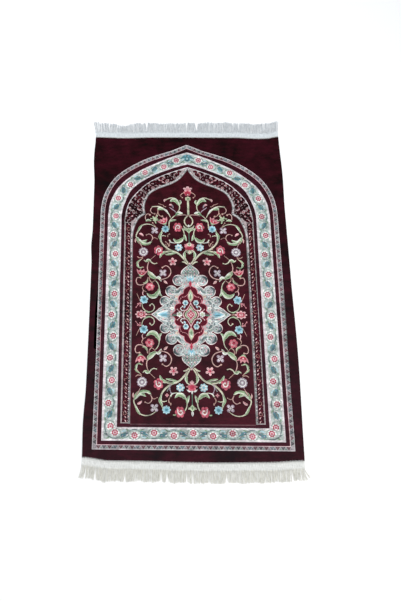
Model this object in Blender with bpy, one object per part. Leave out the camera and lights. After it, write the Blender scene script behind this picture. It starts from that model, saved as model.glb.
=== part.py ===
"""A prayer rug laid out flat: one woven cloth with a fringe trim sewn to each end.

The rug lies on the plane z = 0 with its pile up and the point of its arch towards +Y. It is three
pieces, as a maker would cut and sew them: the cloth, the head trim and the foot trim. A trim is a
woven tape with its strands, and lies against the end of the cloth. The cloth isn't quite square
where it lies, so every outline here passes through the same function, laid().
"""
import math
import random

import bpy
import bmesh
from mathutils import Vector

# Cloth as it was woven, in metres
CLOTH_WIDTH = 0.700
CLOTH_LENGTH = 1.170
CLOTH_THICK = 0.003

# Corners of the laid cloth, as x and y
HEAD_LEFT = (-0.3520, 0.5900)
HEAD_RIGHT = (0.3464, 0.5900)
FOOT_LEFT = (-0.3472, -0.5765)
FOOT_RIGHT = (0.3518, -0.5895)

# The whole rug bows a little to its right, most of all below the middle
BOW = 0.0042
BOW_SKEW = 0.75

# Soft bulges of the outline, which fade out inside the plain margin
MARGIN = 0.028
BULGES = [
    {"edge": "left", "at": 0.490, "reach": 0.110, "out": 0.0045},
    {"edge": "left", "at": 0.140, "reach": 0.070, "out": 0.0030},
    {"edge": "left", "at": -0.470, "reach": 0.120, "out": 0.0035},
    {"edge": "right", "at": 0.430, "reach": 0.150, "out": 0.0030},
    {"edge": "right", "at": -0.250, "reach": 0.280, "out": 0.0030},
    {"edge": "head", "at": -0.240, "reach": 0.110, "out": -0.0030},
    {"edge": "head", "at": 0.270, "reach": 0.090, "out": -0.0040},
    {"edge": "head", "at": 0.350, "reach": 0.045, "out": 0.0050},
    {"edge": "foot", "at": -0.350, "reach": 0.090, "out": -0.0095},
    {"edge": "foot", "at": 0.040, "reach": 0.260, "out": 0.0035},
    {"edge": "foot", "at": 0.350, "reach": 0.110, "out": -0.0055},
]

# Fringe trim
TRIM_GAP = 0.0003
TAPE_DEPTH = 0.024
TAPE_THICK = 0.0025
STRANDS = 148
STRAND_LENGTH = {"head": 0.0435, "foot": 0.0370}
LENGTH_SPREAD = 0.0025
TIP_SPREAD = 0.0003
TIP_PITCH = 0.0023
PART_REACH = 0.015

# A strand's two lengths: share of its length and of its sideways shift, and its size there
STRAND_STEPS = [
    {"along": 0.45, "aside": 0.35, "width": 0.0023, "thick": 0.0021},
    {"along": 1.00, "aside": 1.00, "width": 0.0017, "thick": 0.0016},
]

# Where the strands part: place along the end, and how wide the parting is at the tips
PARTINGS = {
    "head": [
        {"at": -0.299, "wide": 0.006},
        {"at": -0.208, "wide": 0.007},
        {"at": -0.157, "wide": 0.008},
        {"at": -0.002, "wide": 0.010},
        {"at": 0.036, "wide": 0.012},
        {"at": 0.177, "wide": 0.008},
        {"at": 0.199, "wide": 0.006},
        {"at": 0.298, "wide": 0.006},
    ],
    "foot": [
        {"at": -0.334, "wide": 0.004},
        {"at": -0.306, "wide": 0.009},
        {"at": -0.270, "wide": 0.004},
        {"at": -0.214, "wide": 0.011},
        {"at": -0.181, "wide": 0.005},
        {"at": -0.137, "wide": 0.004},
        {"at": -0.101, "wide": 0.008},
        {"at": -0.083, "wide": 0.009},
        {"at": -0.022, "wide": 0.007},
        {"at": -0.005, "wide": 0.006},
        {"at": 0.103, "wide": 0.009},
        {"at": 0.223, "wide": 0.004},
        {"at": 0.308, "wide": 0.008},
    ],
}

# Runs of longer or shorter strands: place, how far they reach and how much longer they are
LENGTH_RUNS = {
    "head": [
        {"at": -0.350, "reach": 0.040, "longer": 0.002},
        {"at": -0.250, "reach": 0.065, "longer": -0.010},
        {"at": -0.080, "reach": 0.100, "longer": -0.003},
        {"at": 0.120, "reach": 0.100, "longer": 0.002},
        {"at": 0.335, "reach": 0.050, "longer": 0.005},
    ],
    "foot": [
        {"at": -0.290, "reach": 0.070, "longer": 0.002},
        {"at": 0.300, "reach": 0.100, "longer": -0.001},
    ],
}

# The outermost strands lean off the corners: place, reach along the end, and lean at the tips
FLARES = {
    "head": [
        {"at": -0.350, "reach": 0.022, "lean": -0.011},
        {"at": 0.350, "reach": 0.020, "lean": 0.007},
    ],
    "foot": [
        {"at": -0.350, "reach": 0.020, "lean": -0.008},
        {"at": 0.350, "reach": 0.007, "lean": 0.026},
    ],
}

SEED = 7

# A tape has one column for each strand and one for each space. The cloth's end edge bends only
# where a column of the tape does, so that the two edges keep the same gap all along.
TAPE_COLUMNS = 2 * STRANDS + 1
COLUMNS_PER_STEP = 11
END_STEPS = TAPE_COLUMNS // COLUMNS_PER_STEP
SIDE_STEPS = 40

CLOTH_COLOR = (0.045, 0.010, 0.016, 1)
TAPE_COLOR = (0.70, 0.73, 0.73, 1)


def hump(distance, reach):
    """Return a smooth hump: 1 at no distance, level there, and 0 past the reach."""
    if abs(distance) >= reach:
        return 0.0
    return 0.5 + 0.5 * math.cos(math.pi * distance / reach)


def bulge(edge, along, depth):
    """Return how far a point near an edge is pushed out, at this depth inside the edge."""
    fade = max(0.0, 1 - depth / MARGIN) ** 2
    rows = [row for row in BULGES if row["edge"] == edge]
    return fade * sum(row["out"] * hump(along - row["at"], row["reach"]) for row in rows)


def laid(u, v):
    """Return the x and y where a point of the cloth comes to lie.

    u and v run across and along the woven cloth from its centre.
    """
    s = u / CLOTH_WIDTH + 0.5
    t = v / CLOTH_LENGTH + 0.5
    corners = [
        ((1 - s) * (1 - t), FOOT_LEFT),
        (s * (1 - t), FOOT_RIGHT),
        ((1 - s) * t, HEAD_LEFT),
        (s * t, HEAD_RIGHT),
    ]
    x = sum(share * corner[0] for share, corner in corners)
    y = sum(share * corner[1] for share, corner in corners)
    x += BOW * math.sin(math.pi * max(t, 0.0) ** BOW_SKEW)
    x += bulge("right", v, CLOTH_WIDTH / 2 - u) - bulge("left", v, CLOTH_WIDTH / 2 + u)
    y += bulge("head", u, CLOTH_LENGTH / 2 - v) - bulge("foot", u, CLOTH_LENGTH / 2 + v)
    return x, y


def end_edge(end, s):
    """Return the x and y at share s, from left to right, of the cloth's head or foot edge."""
    v = CLOTH_LENGTH / 2 if end == "head" else -CLOTH_LENGTH / 2
    step = min(int(s * END_STEPS + 1e-9), END_STEPS - 1)
    near = laid((step / END_STEPS - 0.5) * CLOTH_WIDTH, v)
    far = laid(((step + 1) / END_STEPS - 0.5) * CLOTH_WIDTH, v)
    share = s * END_STEPS - step
    return near[0] + share * (far[0] - near[0]), near[1] + share * (far[1] - near[1])


def cloth_outline():
    """Return the outline of the laid cloth, counterclockwise from its left foot corner."""
    half_width, half_length = CLOTH_WIDTH / 2, CLOTH_LENGTH / 2
    foot = [end_edge("foot", k / END_STEPS) for k in range(END_STEPS)]
    right = [laid(half_width, (k / SIDE_STEPS - 0.5) * CLOTH_LENGTH) for k in range(SIDE_STEPS)]
    head = [end_edge("head", 1 - k / END_STEPS) for k in range(END_STEPS)]
    left = [laid(-half_width, (0.5 - k / SIDE_STEPS) * CLOTH_LENGTH) for k in range(SIDE_STEPS)]
    return foot + right + head + left


def strand_tips(end, rng):
    """Return how far aside and how far out each strand's tip lies, from left to right."""
    places = [((2 * k + 1.5) / TAPE_COLUMNS - 0.5) * CLOTH_WIDTH for k in range(STRANDS)]
    shifts = []
    for place in places:
        shift = rng.uniform(-TIP_SPREAD, TIP_SPREAD)
        for parting in PARTINGS[end]:
            away = place - parting["at"]
            push = parting["wide"] / 2 * math.exp(-abs(away) / PART_REACH)
            shift += math.copysign(push, away)
        for flare in FLARES[end]:
            shift += flare["lean"] * math.exp(-abs(place - flare["at"]) / flare["reach"])
        shifts.append(shift)
    # Neighbours never close up past the pitch that keeps them apart
    for k in range(1, STRANDS):
        least = places[k - 1] + shifts[k - 1] + TIP_PITCH
        shifts[k] = max(shifts[k], least - places[k])
    reaches = []
    for place, shift in zip(places, shifts):
        length = STRAND_LENGTH[end] - rng.uniform(0, LENGTH_SPREAD)
        for run in LENGTH_RUNS[end]:
            length += run["longer"] * hump(place - run["at"], run["reach"])
        reaches.append(math.sqrt(length ** 2 - shift ** 2))
    return list(zip(shifts, reaches))


def tape_mesh(end):
    """Return a trim's tape as a closed bmesh, one column for each strand and each space."""
    out = 1 if end == "head" else -1
    bm = bmesh.new()
    bmesh.ops.create_grid(bm, x_segments=TAPE_COLUMNS, y_segments=1, size=0.5)
    for vert in bm.verts:
        x, y = end_edge(end, vert.co.x + 0.5)
        depth = TRIM_GAP + (vert.co.y * out + 0.5) * TAPE_DEPTH
        vert.co = (x, y + out * depth, 0)
    bmesh.ops.reverse_faces(bm, faces=bm.faces)
    top = bmesh.ops.extrude_face_region(bm, geom=bm.faces[:], use_keep_orig=True)["geom"]
    for vert in [item for item in top if isinstance(item, bmesh.types.BMVert)]:
        vert.co.z = TAPE_THICK
    bmesh.ops.recalc_face_normals(bm, faces=bm.faces)
    return bm


def narrow(face, centre, width, thick):
    """Give a strand's end face its place, width and height, resting on z = 0."""
    left = min(vert.co.x for vert in face.verts)
    right = max(vert.co.x for vert in face.verts)
    high = max(vert.co.z for vert in face.verts)
    for vert in face.verts:
        side = -0.5 if vert.co.x < (left + right) / 2 else 0.5
        level = thick if vert.co.z > high / 2 else 0
        vert.co = (centre[0] + side * width, centre[1], level)


def grow_strands(bm, end, rng):
    """Draw the strands out of every second face of the tape's outer edge, in two lengths."""
    out = 1 if end == "head" else -1
    outer = [face for face in bm.faces if face.normal.y * out > 0.5]
    outer.sort(key=lambda face: face.calc_center_median().x)
    roots = outer[1::2]
    starts = [face.calc_center_median().copy() for face in roots]
    tips = strand_tips(end, rng)
    faces = roots
    for step in STRAND_STEPS:
        faces = bmesh.ops.extrude_discrete_faces(bm, faces=faces)["faces"]
        faces.sort(key=lambda face: face.calc_center_median().x)
        for face, start, (shift, reach) in zip(faces, starts, tips):
            centre = start.x + step["aside"] * shift, start.y + out * step["along"] * reach
            narrow(face, centre, step["width"], step["thick"])


def make_material(name, color, roughness):
    """Return a plain material for a woven piece."""
    material = bpy.data.materials.new(name)
    material.use_nodes = True
    shader = material.node_tree.nodes["Principled BSDF"]
    shader.inputs["Base Color"].default_value = color
    shader.inputs["Roughness"].default_value = roughness
    shader.inputs["Metallic"].default_value = 0.0
    material.diffuse_color = color
    return material


def make_cloth(collection):
    """Make the cloth: its laid outline, filled and given the cloth's thickness."""
    outline = cloth_outline()
    curve = bpy.data.curves.new("cloth", "CURVE")
    curve.dimensions = "2D"
    curve.fill_mode = "BOTH"
    curve.extrude = CLOTH_THICK / 2
    spline = curve.splines.new("POLY")
    spline.points.add(len(outline) - 1)
    for point, (x, y) in zip(spline.points, outline):
        point.co = (x, y, 0, 1)
    spline.use_cyclic_u = True
    curve.materials.append(make_material("cloth_pile", CLOTH_COLOR, 0.9))
    cloth = bpy.data.objects.new("cloth", curve)
    cloth.location.z = CLOTH_THICK / 2
    collection.objects.link(cloth)
    return cloth


def make_trim(collection, end, rng):
    """Make the trim of one end: the tape with its strands."""
    bm = tape_mesh(end)
    grow_strands(bm, end, rng)
    bmesh.ops.recalc_face_normals(bm, faces=bm.faces)
    mesh = bpy.data.meshes.new(f"fringe_{end}")
    bm.to_mesh(mesh)
    bm.free()
    mesh.materials.append(make_material(f"fringe_{end}_yarn", TAPE_COLOR, 0.85))
    trim = bpy.data.objects.new(f"fringe_{end}", mesh)
    collection.objects.link(trim)
    return trim


def stand_on_origin(pieces):
    """Move the pieces together so that the origin is at the bottom centre of the whole rug."""
    bpy.context.view_layer.update()
    corners = [piece.matrix_world @ Vector(corner) for piece in pieces for corner in piece.bound_box]
    middle_x = (min(corner.x for corner in corners) + max(corner.x for corner in corners)) / 2
    middle_y = (min(corner.y for corner in corners) + max(corner.y for corner in corners)) / 2
    for piece in pieces:
        piece.location.x -= middle_x
        piece.location.y -= middle_y


def main():
    for item in list(bpy.data.objects):
        bpy.data.objects.remove(item, do_unlink=True)
    collection = bpy.data.collections.new("prayer_rug")
    bpy.context.scene.collection.children.link(collection)
    rng = random.Random(SEED)
    pieces = [make_cloth(collection)]
    for end in ("head", "foot"):
        pieces.append(make_trim(collection, end, rng))
    stand_on_origin(pieces)


main()
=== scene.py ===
# %% [markdown]
# # A prayer rug, laid out flat
# The real thing is one piece of figured chenille, woven on a wide loom: a maroon ground with a pointed
# arch, a flowered border and a medallion, all in the weave itself. A ready-made fringe is sewn to each
# end. This file dresses the imported solids of that rug. It draws the figures as flat shapes, cuts them
# into the mesh of the cloth, and makes the fringe yarn by yarn. First the frame is loaded: it says
# where the solids lie.

# %% Frame
import math
import random

import bpy
import numpy as np
from mathutils import Matrix, Vector
from mathutils.geometry import delaunay_2d_cdt


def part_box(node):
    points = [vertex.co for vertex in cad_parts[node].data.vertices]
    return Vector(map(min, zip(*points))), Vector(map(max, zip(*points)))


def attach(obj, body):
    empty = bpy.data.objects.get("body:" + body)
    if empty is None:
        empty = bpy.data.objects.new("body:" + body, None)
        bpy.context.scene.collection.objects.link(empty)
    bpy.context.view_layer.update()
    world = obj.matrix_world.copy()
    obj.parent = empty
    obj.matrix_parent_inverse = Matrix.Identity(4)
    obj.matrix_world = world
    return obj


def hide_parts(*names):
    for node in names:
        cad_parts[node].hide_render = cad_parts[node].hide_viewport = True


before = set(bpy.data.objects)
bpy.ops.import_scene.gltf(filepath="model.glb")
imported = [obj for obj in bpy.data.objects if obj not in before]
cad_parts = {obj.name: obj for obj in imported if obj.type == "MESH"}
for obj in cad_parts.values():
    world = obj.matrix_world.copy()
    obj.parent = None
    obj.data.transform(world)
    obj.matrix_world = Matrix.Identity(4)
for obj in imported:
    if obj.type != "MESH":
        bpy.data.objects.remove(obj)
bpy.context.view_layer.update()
print("solids:", sorted(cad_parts))

# %% [markdown]
# ## The camera
# The rug was photographed by someone standing at its foot and holding the camera almost straight
# above it, a little turned. A camera could be aimed with a Track To constraint, but then its roll is
# lost. Here its three directions are worked out from pitch, yaw and roll, and put in one matrix. The
# picture is 401 by 601 pixels, and its centre lies 20 pixels off the lens's axis.

# %% Camera
PICTURE_WIDTH, PICTURE_HEIGHT = 401, 601
FOCAL_PIXELS = 451.63
AXIS_PIXEL_X = 180.34  # where the lens's axis meets the picture
SENSOR = 36.0
CAMERA_PLACE = Vector((-0.06484, -0.48384, 1.49899))
PITCH, YAW, ROLL = 1.298089, -0.068105, 0.062426


def placed(name, data):
    """Make an object of this data and put it in the scene."""
    made = bpy.data.objects.new(name, data)
    bpy.context.scene.collection.objects.link(made)
    return made


def aimed_camera():
    """Return a camera whose axes follow from pitch, yaw and roll."""
    turn = Matrix.Rotation(YAW, 3, "Z")
    ahead = turn @ Vector((0, math.cos(PITCH), -math.sin(PITCH)))
    over = turn @ Vector((0, math.sin(PITCH), math.cos(PITCH)))
    beside = turn @ Vector((1, 0, 0))
    right = math.cos(ROLL) * beside + math.sin(ROLL) * over
    up = -math.sin(ROLL) * beside + math.cos(ROLL) * over
    lens = bpy.data.cameras.new("rug_camera")
    lens.sensor_width = SENSOR
    lens.lens = FOCAL_PIXELS / PICTURE_HEIGHT * SENSOR
    lens.shift_x = ((PICTURE_WIDTH - 1) / 2 - AXIS_PIXEL_X) / PICTURE_HEIGHT
    camera = placed("rug_camera", lens)
    camera.matrix_world = Matrix.Translation(CAMERA_PLACE) @ Matrix((right, up, -ahead)).transposed().to_4x4()
    return camera


bpy.context.scene.camera = aimed_camera()
print("lens", round(bpy.context.scene.camera.data.lens, 2), "mm")

# %% [markdown]
# ## How the cloth lies
# A woven rug is a rectangle on the loom, but on the floor it is never quite one: it bows a little and
# its edges swell where it was rolled. So everything is drawn square, across and along the cloth, and
# one function then says where each point comes to lie. The border, the figures, the edges and the
# fringe all pass through it, so they bend together.

# %% The lie of the cloth
CLOTH_WIDTH, CLOTH_LENGTH, CLOTH_THICK = 0.700, 1.170, 0.003
CORNERS = {"foot left": (-0.3472, -0.5765), "foot right": (0.3518, -0.5895),
           "head left": (-0.3520, 0.5900), "head right": (0.3464, 0.5900)}
BOW, BOW_SKEW = 0.0042, 0.75  # sideways bow, and how far towards the foot its middle lies
MARGIN = 0.028  # a bulge of the edge fades out this far inside it
BULGES = [  # edge, place along it, reach, how far out
    ("left", 0.490, 0.110, 0.0045), ("left", 0.140, 0.070, 0.0030), ("left", -0.470, 0.120, 0.0035),
    ("right", 0.430, 0.150, 0.0030), ("right", -0.250, 0.280, 0.0030),
    ("head", -0.240, 0.110, -0.0030), ("head", 0.270, 0.090, -0.0040), ("head", 0.350, 0.045, 0.0050),
    ("foot", -0.350, 0.090, -0.0095), ("foot", 0.040, 0.260, 0.0035), ("foot", 0.350, 0.110, -0.0055),
]


def hump(distance, reach):
    """A smooth hump: 1 at no distance, 0 past the reach."""
    return np.where(np.abs(distance) < reach, 0.5 + 0.5 * np.cos(np.pi * distance / reach), 0.0)


def bulge(edge, along, depth):
    """How far an edge is pushed out, at places along it and inside it."""
    fade = np.maximum(0, 1 - depth / MARGIN) ** 2
    return fade * sum(out * hump(along - at, reach) for name, at, reach, out in BULGES if name == edge)


def lie(u, v):
    """Where points of the cloth come to lie, before the whole rug is centred."""
    u, v = np.asarray(u, float), np.asarray(v, float)
    s, t = u / CLOTH_WIDTH + 0.5, v / CLOTH_LENGTH + 0.5
    shares = {"foot left": (1 - s) * (1 - t), "foot right": s * (1 - t),
              "head left": (1 - s) * t, "head right": s * t}
    x, y = (sum(shares[name] * CORNERS[name][axis] for name in CORNERS) for axis in (0, 1))
    x = x + BOW * np.sin(np.pi * np.maximum(t, 0) ** BOW_SKEW)
    x = x + bulge("right", v, CLOTH_WIDTH / 2 - u) - bulge("left", v, CLOTH_WIDTH / 2 + u)
    y = y + bulge("head", u, CLOTH_LENGTH / 2 - v) - bulge("foot", u, CLOTH_LENGTH / 2 + v)
    return np.stack([x, y], -1)


print("the cloth is", CLOTH_WIDTH, "by", CLOTH_LENGTH, "m, with", len(BULGES), "bulges in its edges")

# %% [markdown]
# The dressed cloth has to lie where its solid lies. It could be moved there at the end, but then its
# object would not sit at the origin. So the outline is laid once, its box is set on the box of the
# solid, and the difference is added to every point from here on.

# %% Centred on the solid
RIM_SAMPLES = 400


def rim_line():
    """The cloth's outline in a fine step, as it lies."""
    side = np.linspace(-0.5, 0.5, RIM_SAMPLES)
    u, v = CLOTH_WIDTH * side, CLOTH_LENGTH * side
    half_u, half_v = np.full(RIM_SAMPLES, CLOTH_WIDTH / 2), np.full(RIM_SAMPLES, CLOTH_LENGTH / 2)
    return np.vstack([lie(u, -half_v), lie(half_u, v), lie(u, half_v), lie(-half_u, v)])


cloth_low, cloth_high = (np.array(corner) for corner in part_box("cloth"))
rim = rim_line()
SHIFT = (cloth_low[:2] + cloth_high[:2]) / 2 - (rim.min(axis=0) + rim.max(axis=0)) / 2


def laid(u, v):
    """Where points of the cloth come to lie, in metres, in the frame."""
    return lie(u, v) + SHIFT


print("rug is centred by", (SHIFT * 1000).round(2), "mm")

# %% [markdown]
# The weave has crept as well as the edges: towards the head its figures sit up to 8 mm lower than on
# a true rectangle, and 5 mm further left. A table of heights gives how far, and NumPy fills in between.

# %% Drift of the weave
WEAVE_DRIFT = {  # how far the woven drawing has crept across and along the cloth at these heights
    "height": (-0.580, -0.520, -0.440, -0.340, 0.100, 0.230, 0.330, 0.430, 0.480, 0.560),
    "across": (0.0009, 0.0, -0.0030, -0.0039, -0.0039, -0.0048, -0.0049, -0.0055, -0.0034, -0.0048),
    "along": (0.0023, 0.0011, -0.0012, -0.0027, -0.0045, -0.0056, -0.0066, -0.0076, -0.0074, -0.0078),
}
SIDE_DRIFT, SIDE_SKEW = 0.0027, 0.0010  # the two sides have crept less than the middle
DRAWING_HALF = 0.27  # half the width over which they do
HELD_BELOW, FREE_WITHIN = -0.56, 0.2  # the foot holds them level up to here, and how soon they are free


def woven(points):
    """Where points of the drawing, in metres, come on the cloth."""
    u, v = points.T
    across = np.interp(v, WEAVE_DRIFT["height"], WEAVE_DRIFT["across"])
    along = np.interp(v, WEAVE_DRIFT["height"], WEAVE_DRIFT["along"])
    side = np.clip(u / DRAWING_HALF, -1.2, 1.2)
    free = np.clip((v - HELD_BELOW) / FREE_WITHIN, 0, 1)
    held = free * (SIDE_DRIFT * side ** 2 + SIDE_SKEW * side)
    return np.stack([u + across + held, v + along], -1)


print("the weave has crept by up to", 1000 * max(np.abs(WEAVE_DRIFT["along"])), "mm")

# %% [markdown]
# ## The drawing: dyes and curves
# The figures of a figured rug are not printed: each is a patch of pile in another colour. They could
# be one image, wrapped on, but an image blurs close up and can't be mirrored or bent. Here each figure
# is a closed outline in millimetres with the name of its dye, laid over the ones before it, like cut
# paper. It is measured from the middle of the cloth, flat and square: the creep and the bow are added
# when it is cut into the mesh. The dyes are few, as on a loom.

# %% Dyes
PAINTS = {
    "ground": "23040a", "field": "340912", "gap": "310f18", "shade": "180509", "well": "2a060e",
    "wine": "520f1c", "backing": "4a2a2f", "white": "dbdcd8", "rim": "cfc8cb", "mint": "a9b4b0",
    "mist": "a9b6b5", "silver": "8b8e8d", "stone": "9a9493", "bone": "9b9699", "haze": "aa9b9c",
    "grey": "7c7f7e", "slate": "56666a", "soot": "43484a", "umber": "5e4246", "pink": "d6adaf",
    "blush": "c98a90", "rose": "b85a68", "crimson": "96394f", "red": "a33548", "deep": "5c1320",
    "cream": "cfc8b6", "vine": "b3b49b", "tendril": "b9978b", "sage": "afc09f", "leaf": "74906f",
    "green": "4b6f5e", "moss": "73877f", "teal": "4f808a", "blue": "7fb2c4", "sky": "a5c8d0",
    "lilac": "a2939f", "ash": "847a80",
}
shapes = []  # (dye, outline), from the lowest layer to the highest
MIDDLE = -108.0  # height of the medallion's centre
SLACK = 0.28  # how far a straight line may cut a curve's corner


def linear(code):
    """A hex colour as linear red, green, blue and alpha."""
    parts = [int(code[k:k + 2], 16) / 255 for k in (0, 2, 4)]
    return [p / 12.92 if p <= 0.04045 else ((p + 0.055) / 1.055) ** 2.4 for p in parts] + [1.0]


print(len(PAINTS), "dyes, the ground's is", np.round(linear(PAINTS["ground"]), 4))

# %% Smooth curves


def thinned(outline):
    """Drop the points of a closed outline that its neighbours already give."""
    kept, start = [0], 0
    for end in range(2, len(outline) + 1):
        a, b = outline[start], outline[end % len(outline)]
        run = b - a
        away = outline[start + 1:end] - a
        off = np.abs(run[0] * away[:, 1] - run[1] * away[:, 0]) / max(np.hypot(*run), 1e-6)
        if off.max() > SLACK:
            start = end - 1
            kept.append(start)
    return outline[kept]


def smooth(points, spacing=2.5):
    """A Catmull-Rom curve through given points, in millimetres."""
    p = np.array(points, float)
    p = np.vstack([2 * p[0] - p[1], p, 2 * p[-1] - p[-2]])
    run = []
    for a, b, c, d in zip(p, p[1:], p[2:], p[3:]):
        t = np.arange(max(2, math.ceil(np.hypot(*(c - b)) / spacing)))[:, None]
        t = t / len(t)
        run.append((2 * b + (c - a) * t + (2 * a - 5 * b + 4 * c - d) * t**2
                    + (3 * b - a - 3 * c + d) * t**3) / 2)
    run.append(p[-2:-1])
    return np.vstack(run)


def normals(path):
    """The directions across a path, to its right."""
    run = np.gradient(path, axis=0)
    side = np.stack([run[:, 1], -run[:, 0]], 1)
    return side / np.maximum(np.hypot(side[:, 0], side[:, 1]), 1e-9)[:, None]


quarter = smooth([(0, 10), (7, 7), (10, 0)])
print("a quarter turn takes", len(quarter), "points, or", len(thinned(quarter)), "when thinned")

# %% [markdown]
# Almost every motif of the rug is there twice or four times, since a loom's pattern is read forwards
# and back. So one function lays a shape together with its mirror twins, and all others call it: discs,
# flower heads with round or pointed petals, and bands that follow a path.

# %% Shapes laid on the drawing


def paint(colour, outline, copies=4):
    """Lay one shape on the drawing, and its mirror twins: 2 left and right, 4 also upper and lower."""
    outline = thinned(np.asarray(outline, float))
    for below in (False, True)[:1 + (copies == 4)]:
        for right in (False, True)[:1 + (copies > 1)]:
            twin = outline * (-1 if right else 1, -1 if below else 1)
            shapes.append((colour, twin + (0, 2 * MIDDLE if below else 0)))


def disc(colour, centre, radius, copies=4):
    """A round shape, with more sides the larger it is."""
    angle = np.linspace(0, 2 * math.pi, max(8, int(radius * 2.2)), endpoint=False)
    paint(colour, centre + radius * np.stack([np.cos(angle), np.sin(angle)], 1), copies)


def petals(colour, centre, count, inner, outer, copies=4, turn=0, stretch=(1, 1)):
    """A scalloped round: a flower head, or its halo."""
    angle = np.linspace(0, 2 * math.pi, count * (6 if outer > 7 else 4), endpoint=False)
    radius = inner + (outer - inner) * np.abs(np.cos(count * angle / 2)) ** 0.7
    angle = angle + math.radians(turn)
    paint(colour, centre + np.stack([radius * np.cos(angle), radius * np.sin(angle)], 1) * stretch, copies)


def burst(colour, centre, count, inner, outer, copies=4, turn=0, stretch=(1, 1)):
    """A star with straight rays."""
    angle = np.arange(2 * count) * math.pi / count + math.radians(turn)
    radius = np.where(np.arange(2 * count) % 2, inner, outer)
    paint(colour, centre + np.stack([radius * np.cos(angle), radius * np.sin(angle)], 1) * stretch, copies)


def band(colour, path, width, copies=4):
    """A stripe along a path; width is a number or one value a point."""
    path = np.asarray(path, float)
    half = normals(path) * np.reshape(np.broadcast_to(np.asarray(width) / 2, len(path)), (-1, 1))
    paint(colour, np.vstack([path + half, (path - half)[::-1]]), copies)


def tally():
    """Print how many shapes lie on the drawing."""
    print(len(shapes), "shapes so far")


tally()

# %% [markdown]
# A vine could be one even stripe, but a woven one swells and thins, and has a dark outline that lifts
# it off the ground, and a lit side. A leaf has a dark half and a lit edge. Both are drawn from a few points
# on their middle line.

# %% Vines and leaves
LIT = {"vine": "cream", "tendril": "pink"}  # the lit side's dye for each kind of stem
THICK = 3  # a stem under this many millimetres stays plain
OUTLINE = 2.6  # how much wider than the stem its outline is


def vine(points, width, ball=0, colour="vine", copies=4, thin=(0.75, 0.35)):
    """A stem that thins towards its ends, with a ball where it curls up."""
    path = smooth(points)
    t = np.linspace(0, 1, len(path))
    full = width * (1 - (1 - thin[0]) * (1 - t) ** 3 - (1 - thin[1]) * t ** 3)
    if width > THICK and colour in LIT:  # its dark outline
        band("shade", path, full + OUTLINE, copies)
    band(colour, path, full, copies)
    if ball:
        disc(colour, points[-1], ball, copies)
    if width > THICK and colour in LIT:  # its lit side
        band(LIT[colour], path[1:] - normals(path)[1:] * full[1:, None] * 0.2, full[1:] * 0.34, copies)


def leaf(points, width, copies=4, colour="sage", shade="leaf", spacing=2.5):
    """A leaf along a bent midrib: its far half is darker, and scalloped where the leaf is large."""
    path = smooth(points, spacing=spacing)
    t = np.linspace(0, 1, len(path))
    half = width / 2 * np.sin(math.pi * t ** 0.8) ** 0.75 + 0.15
    side = normals(path) * half[:, None]
    lobes = 1 + (0.22 * np.abs(np.sin(3 * math.pi * t[:, None])) if width > 8 else 0)
    paint(colour, np.vstack([path - side, (path + side * lobes)[::-1]]), copies)
    if shade:
        paint(shade, np.vstack([path + side * 0.06, (path + side * lobes * 0.8)[::-1]])[1:-1], copies)
    if width > 6 and colour == "sage":  # its lit edge
        paint("white", np.vstack([path - side * 0.92, (path - side * 0.62)[::-1]])[1:-1], copies)


print("a stem over", THICK, "mm thick gets a dark outline and a lit side")

# %% [markdown]
# ## The arch and its stripes
# Three stripes run round the rug's niche: a narrow guard of triangles, a wide flowered border and a
# band of scroll work. Each has a straight foot, straight sides and a pointed arch. Circles would give
# an arch too, but a loom draws it by hand and eye, so the left half of each line is a curve through
# a few points, and the right half is its mirror. A stripe's ground is the whole niche, filled, and
# the next ground lies on top of it.

# %% Lines of the arch
SPRING = 240.0  # height where the sides end and the arch begins
FOOT = {"guard": -552, "border": -525, "panel": -482, "band": -470}
ARCH = {  # left half of each line of the arch, from its spring to the point
    "guard": [(-321, 240), (-319, 300), (-306, 355), (-274, 412), (-226, 456), (-160, 495), (-100, 519),
              (-60, 532), (-32, 545), (-12, 554), (0, 558.5)],
    "border": [(-293, 240), (-292, 275), (-283, 325), (-249, 387), (-180, 446), (-100, 488), (-50, 510),
               (0, 526)],
    "panel": [(-244, 240), (-243, 270), (-233, 312), (-204, 372), (-142, 420), (-72, 452), (-30, 467),
              (0, 475)],
    "band": [(-232.5, 240), (-230.8, 262), (-221, 305), (-202, 340), (-158, 388), (-110, 420), (-50, 446),
             (0, 463)],
}


def inset(path, depth):
    """The same line moved towards the middle of the rug, ended on the centre line."""
    moved = path + normals(path) * depth
    moved = moved[moved[:, 0] < -0.5]
    (au, av), (bu, bv) = moved[-2:]
    return np.vstack([moved, [0, bv - bu * (bv - av) / (bu - au)]])


def niche(name, depth=0):
    """A closed outline: straight foot and sides, with the arch above."""
    left = inset(smooth(ARCH[name]), depth) if depth else smooth(ARCH[name])
    corner = [left[0, 0], FOOT[name] + depth]
    left = np.vstack([[corner], left])
    return np.vstack([left, left[-2::-1] * (-1, 1)])


GROUNDS = [  # dye, line of the arch, how far inside it
    ("rim", "guard", 0), ("bone", "guard", 1.8), ("rim", "guard", 13.4), ("blush", "guard", 14.5),
    ("gap", "guard", 15.4), ("rim", "border", 0), ("mint", "border", 6), ("rim", "panel", -5.5),
    ("gap", "panel", 0), ("stone", "band", 0), ("haze", "band", 2.4),
]
for colour, line, depth in GROUNDS:
    paint(colour, niche(line, depth), 1)
print(len(GROUNDS), "grounds, one inside the other")

# %% Places along a line
ARCH_SAMPLES, SIDE_SAMPLES = 120, 200
ENDLESS = 1e6  # a pitch so long that there is only one station


def resampled(path, count):
    """The same path with points at equal steps."""
    run = np.concatenate([[0], np.cumsum(np.hypot(*np.diff(path, axis=0).T))])
    at = np.linspace(0, run[-1], count)
    return np.stack([np.interp(at, run, path[:, 0]), np.interp(at, run, path[:, 1])], 1)


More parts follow.
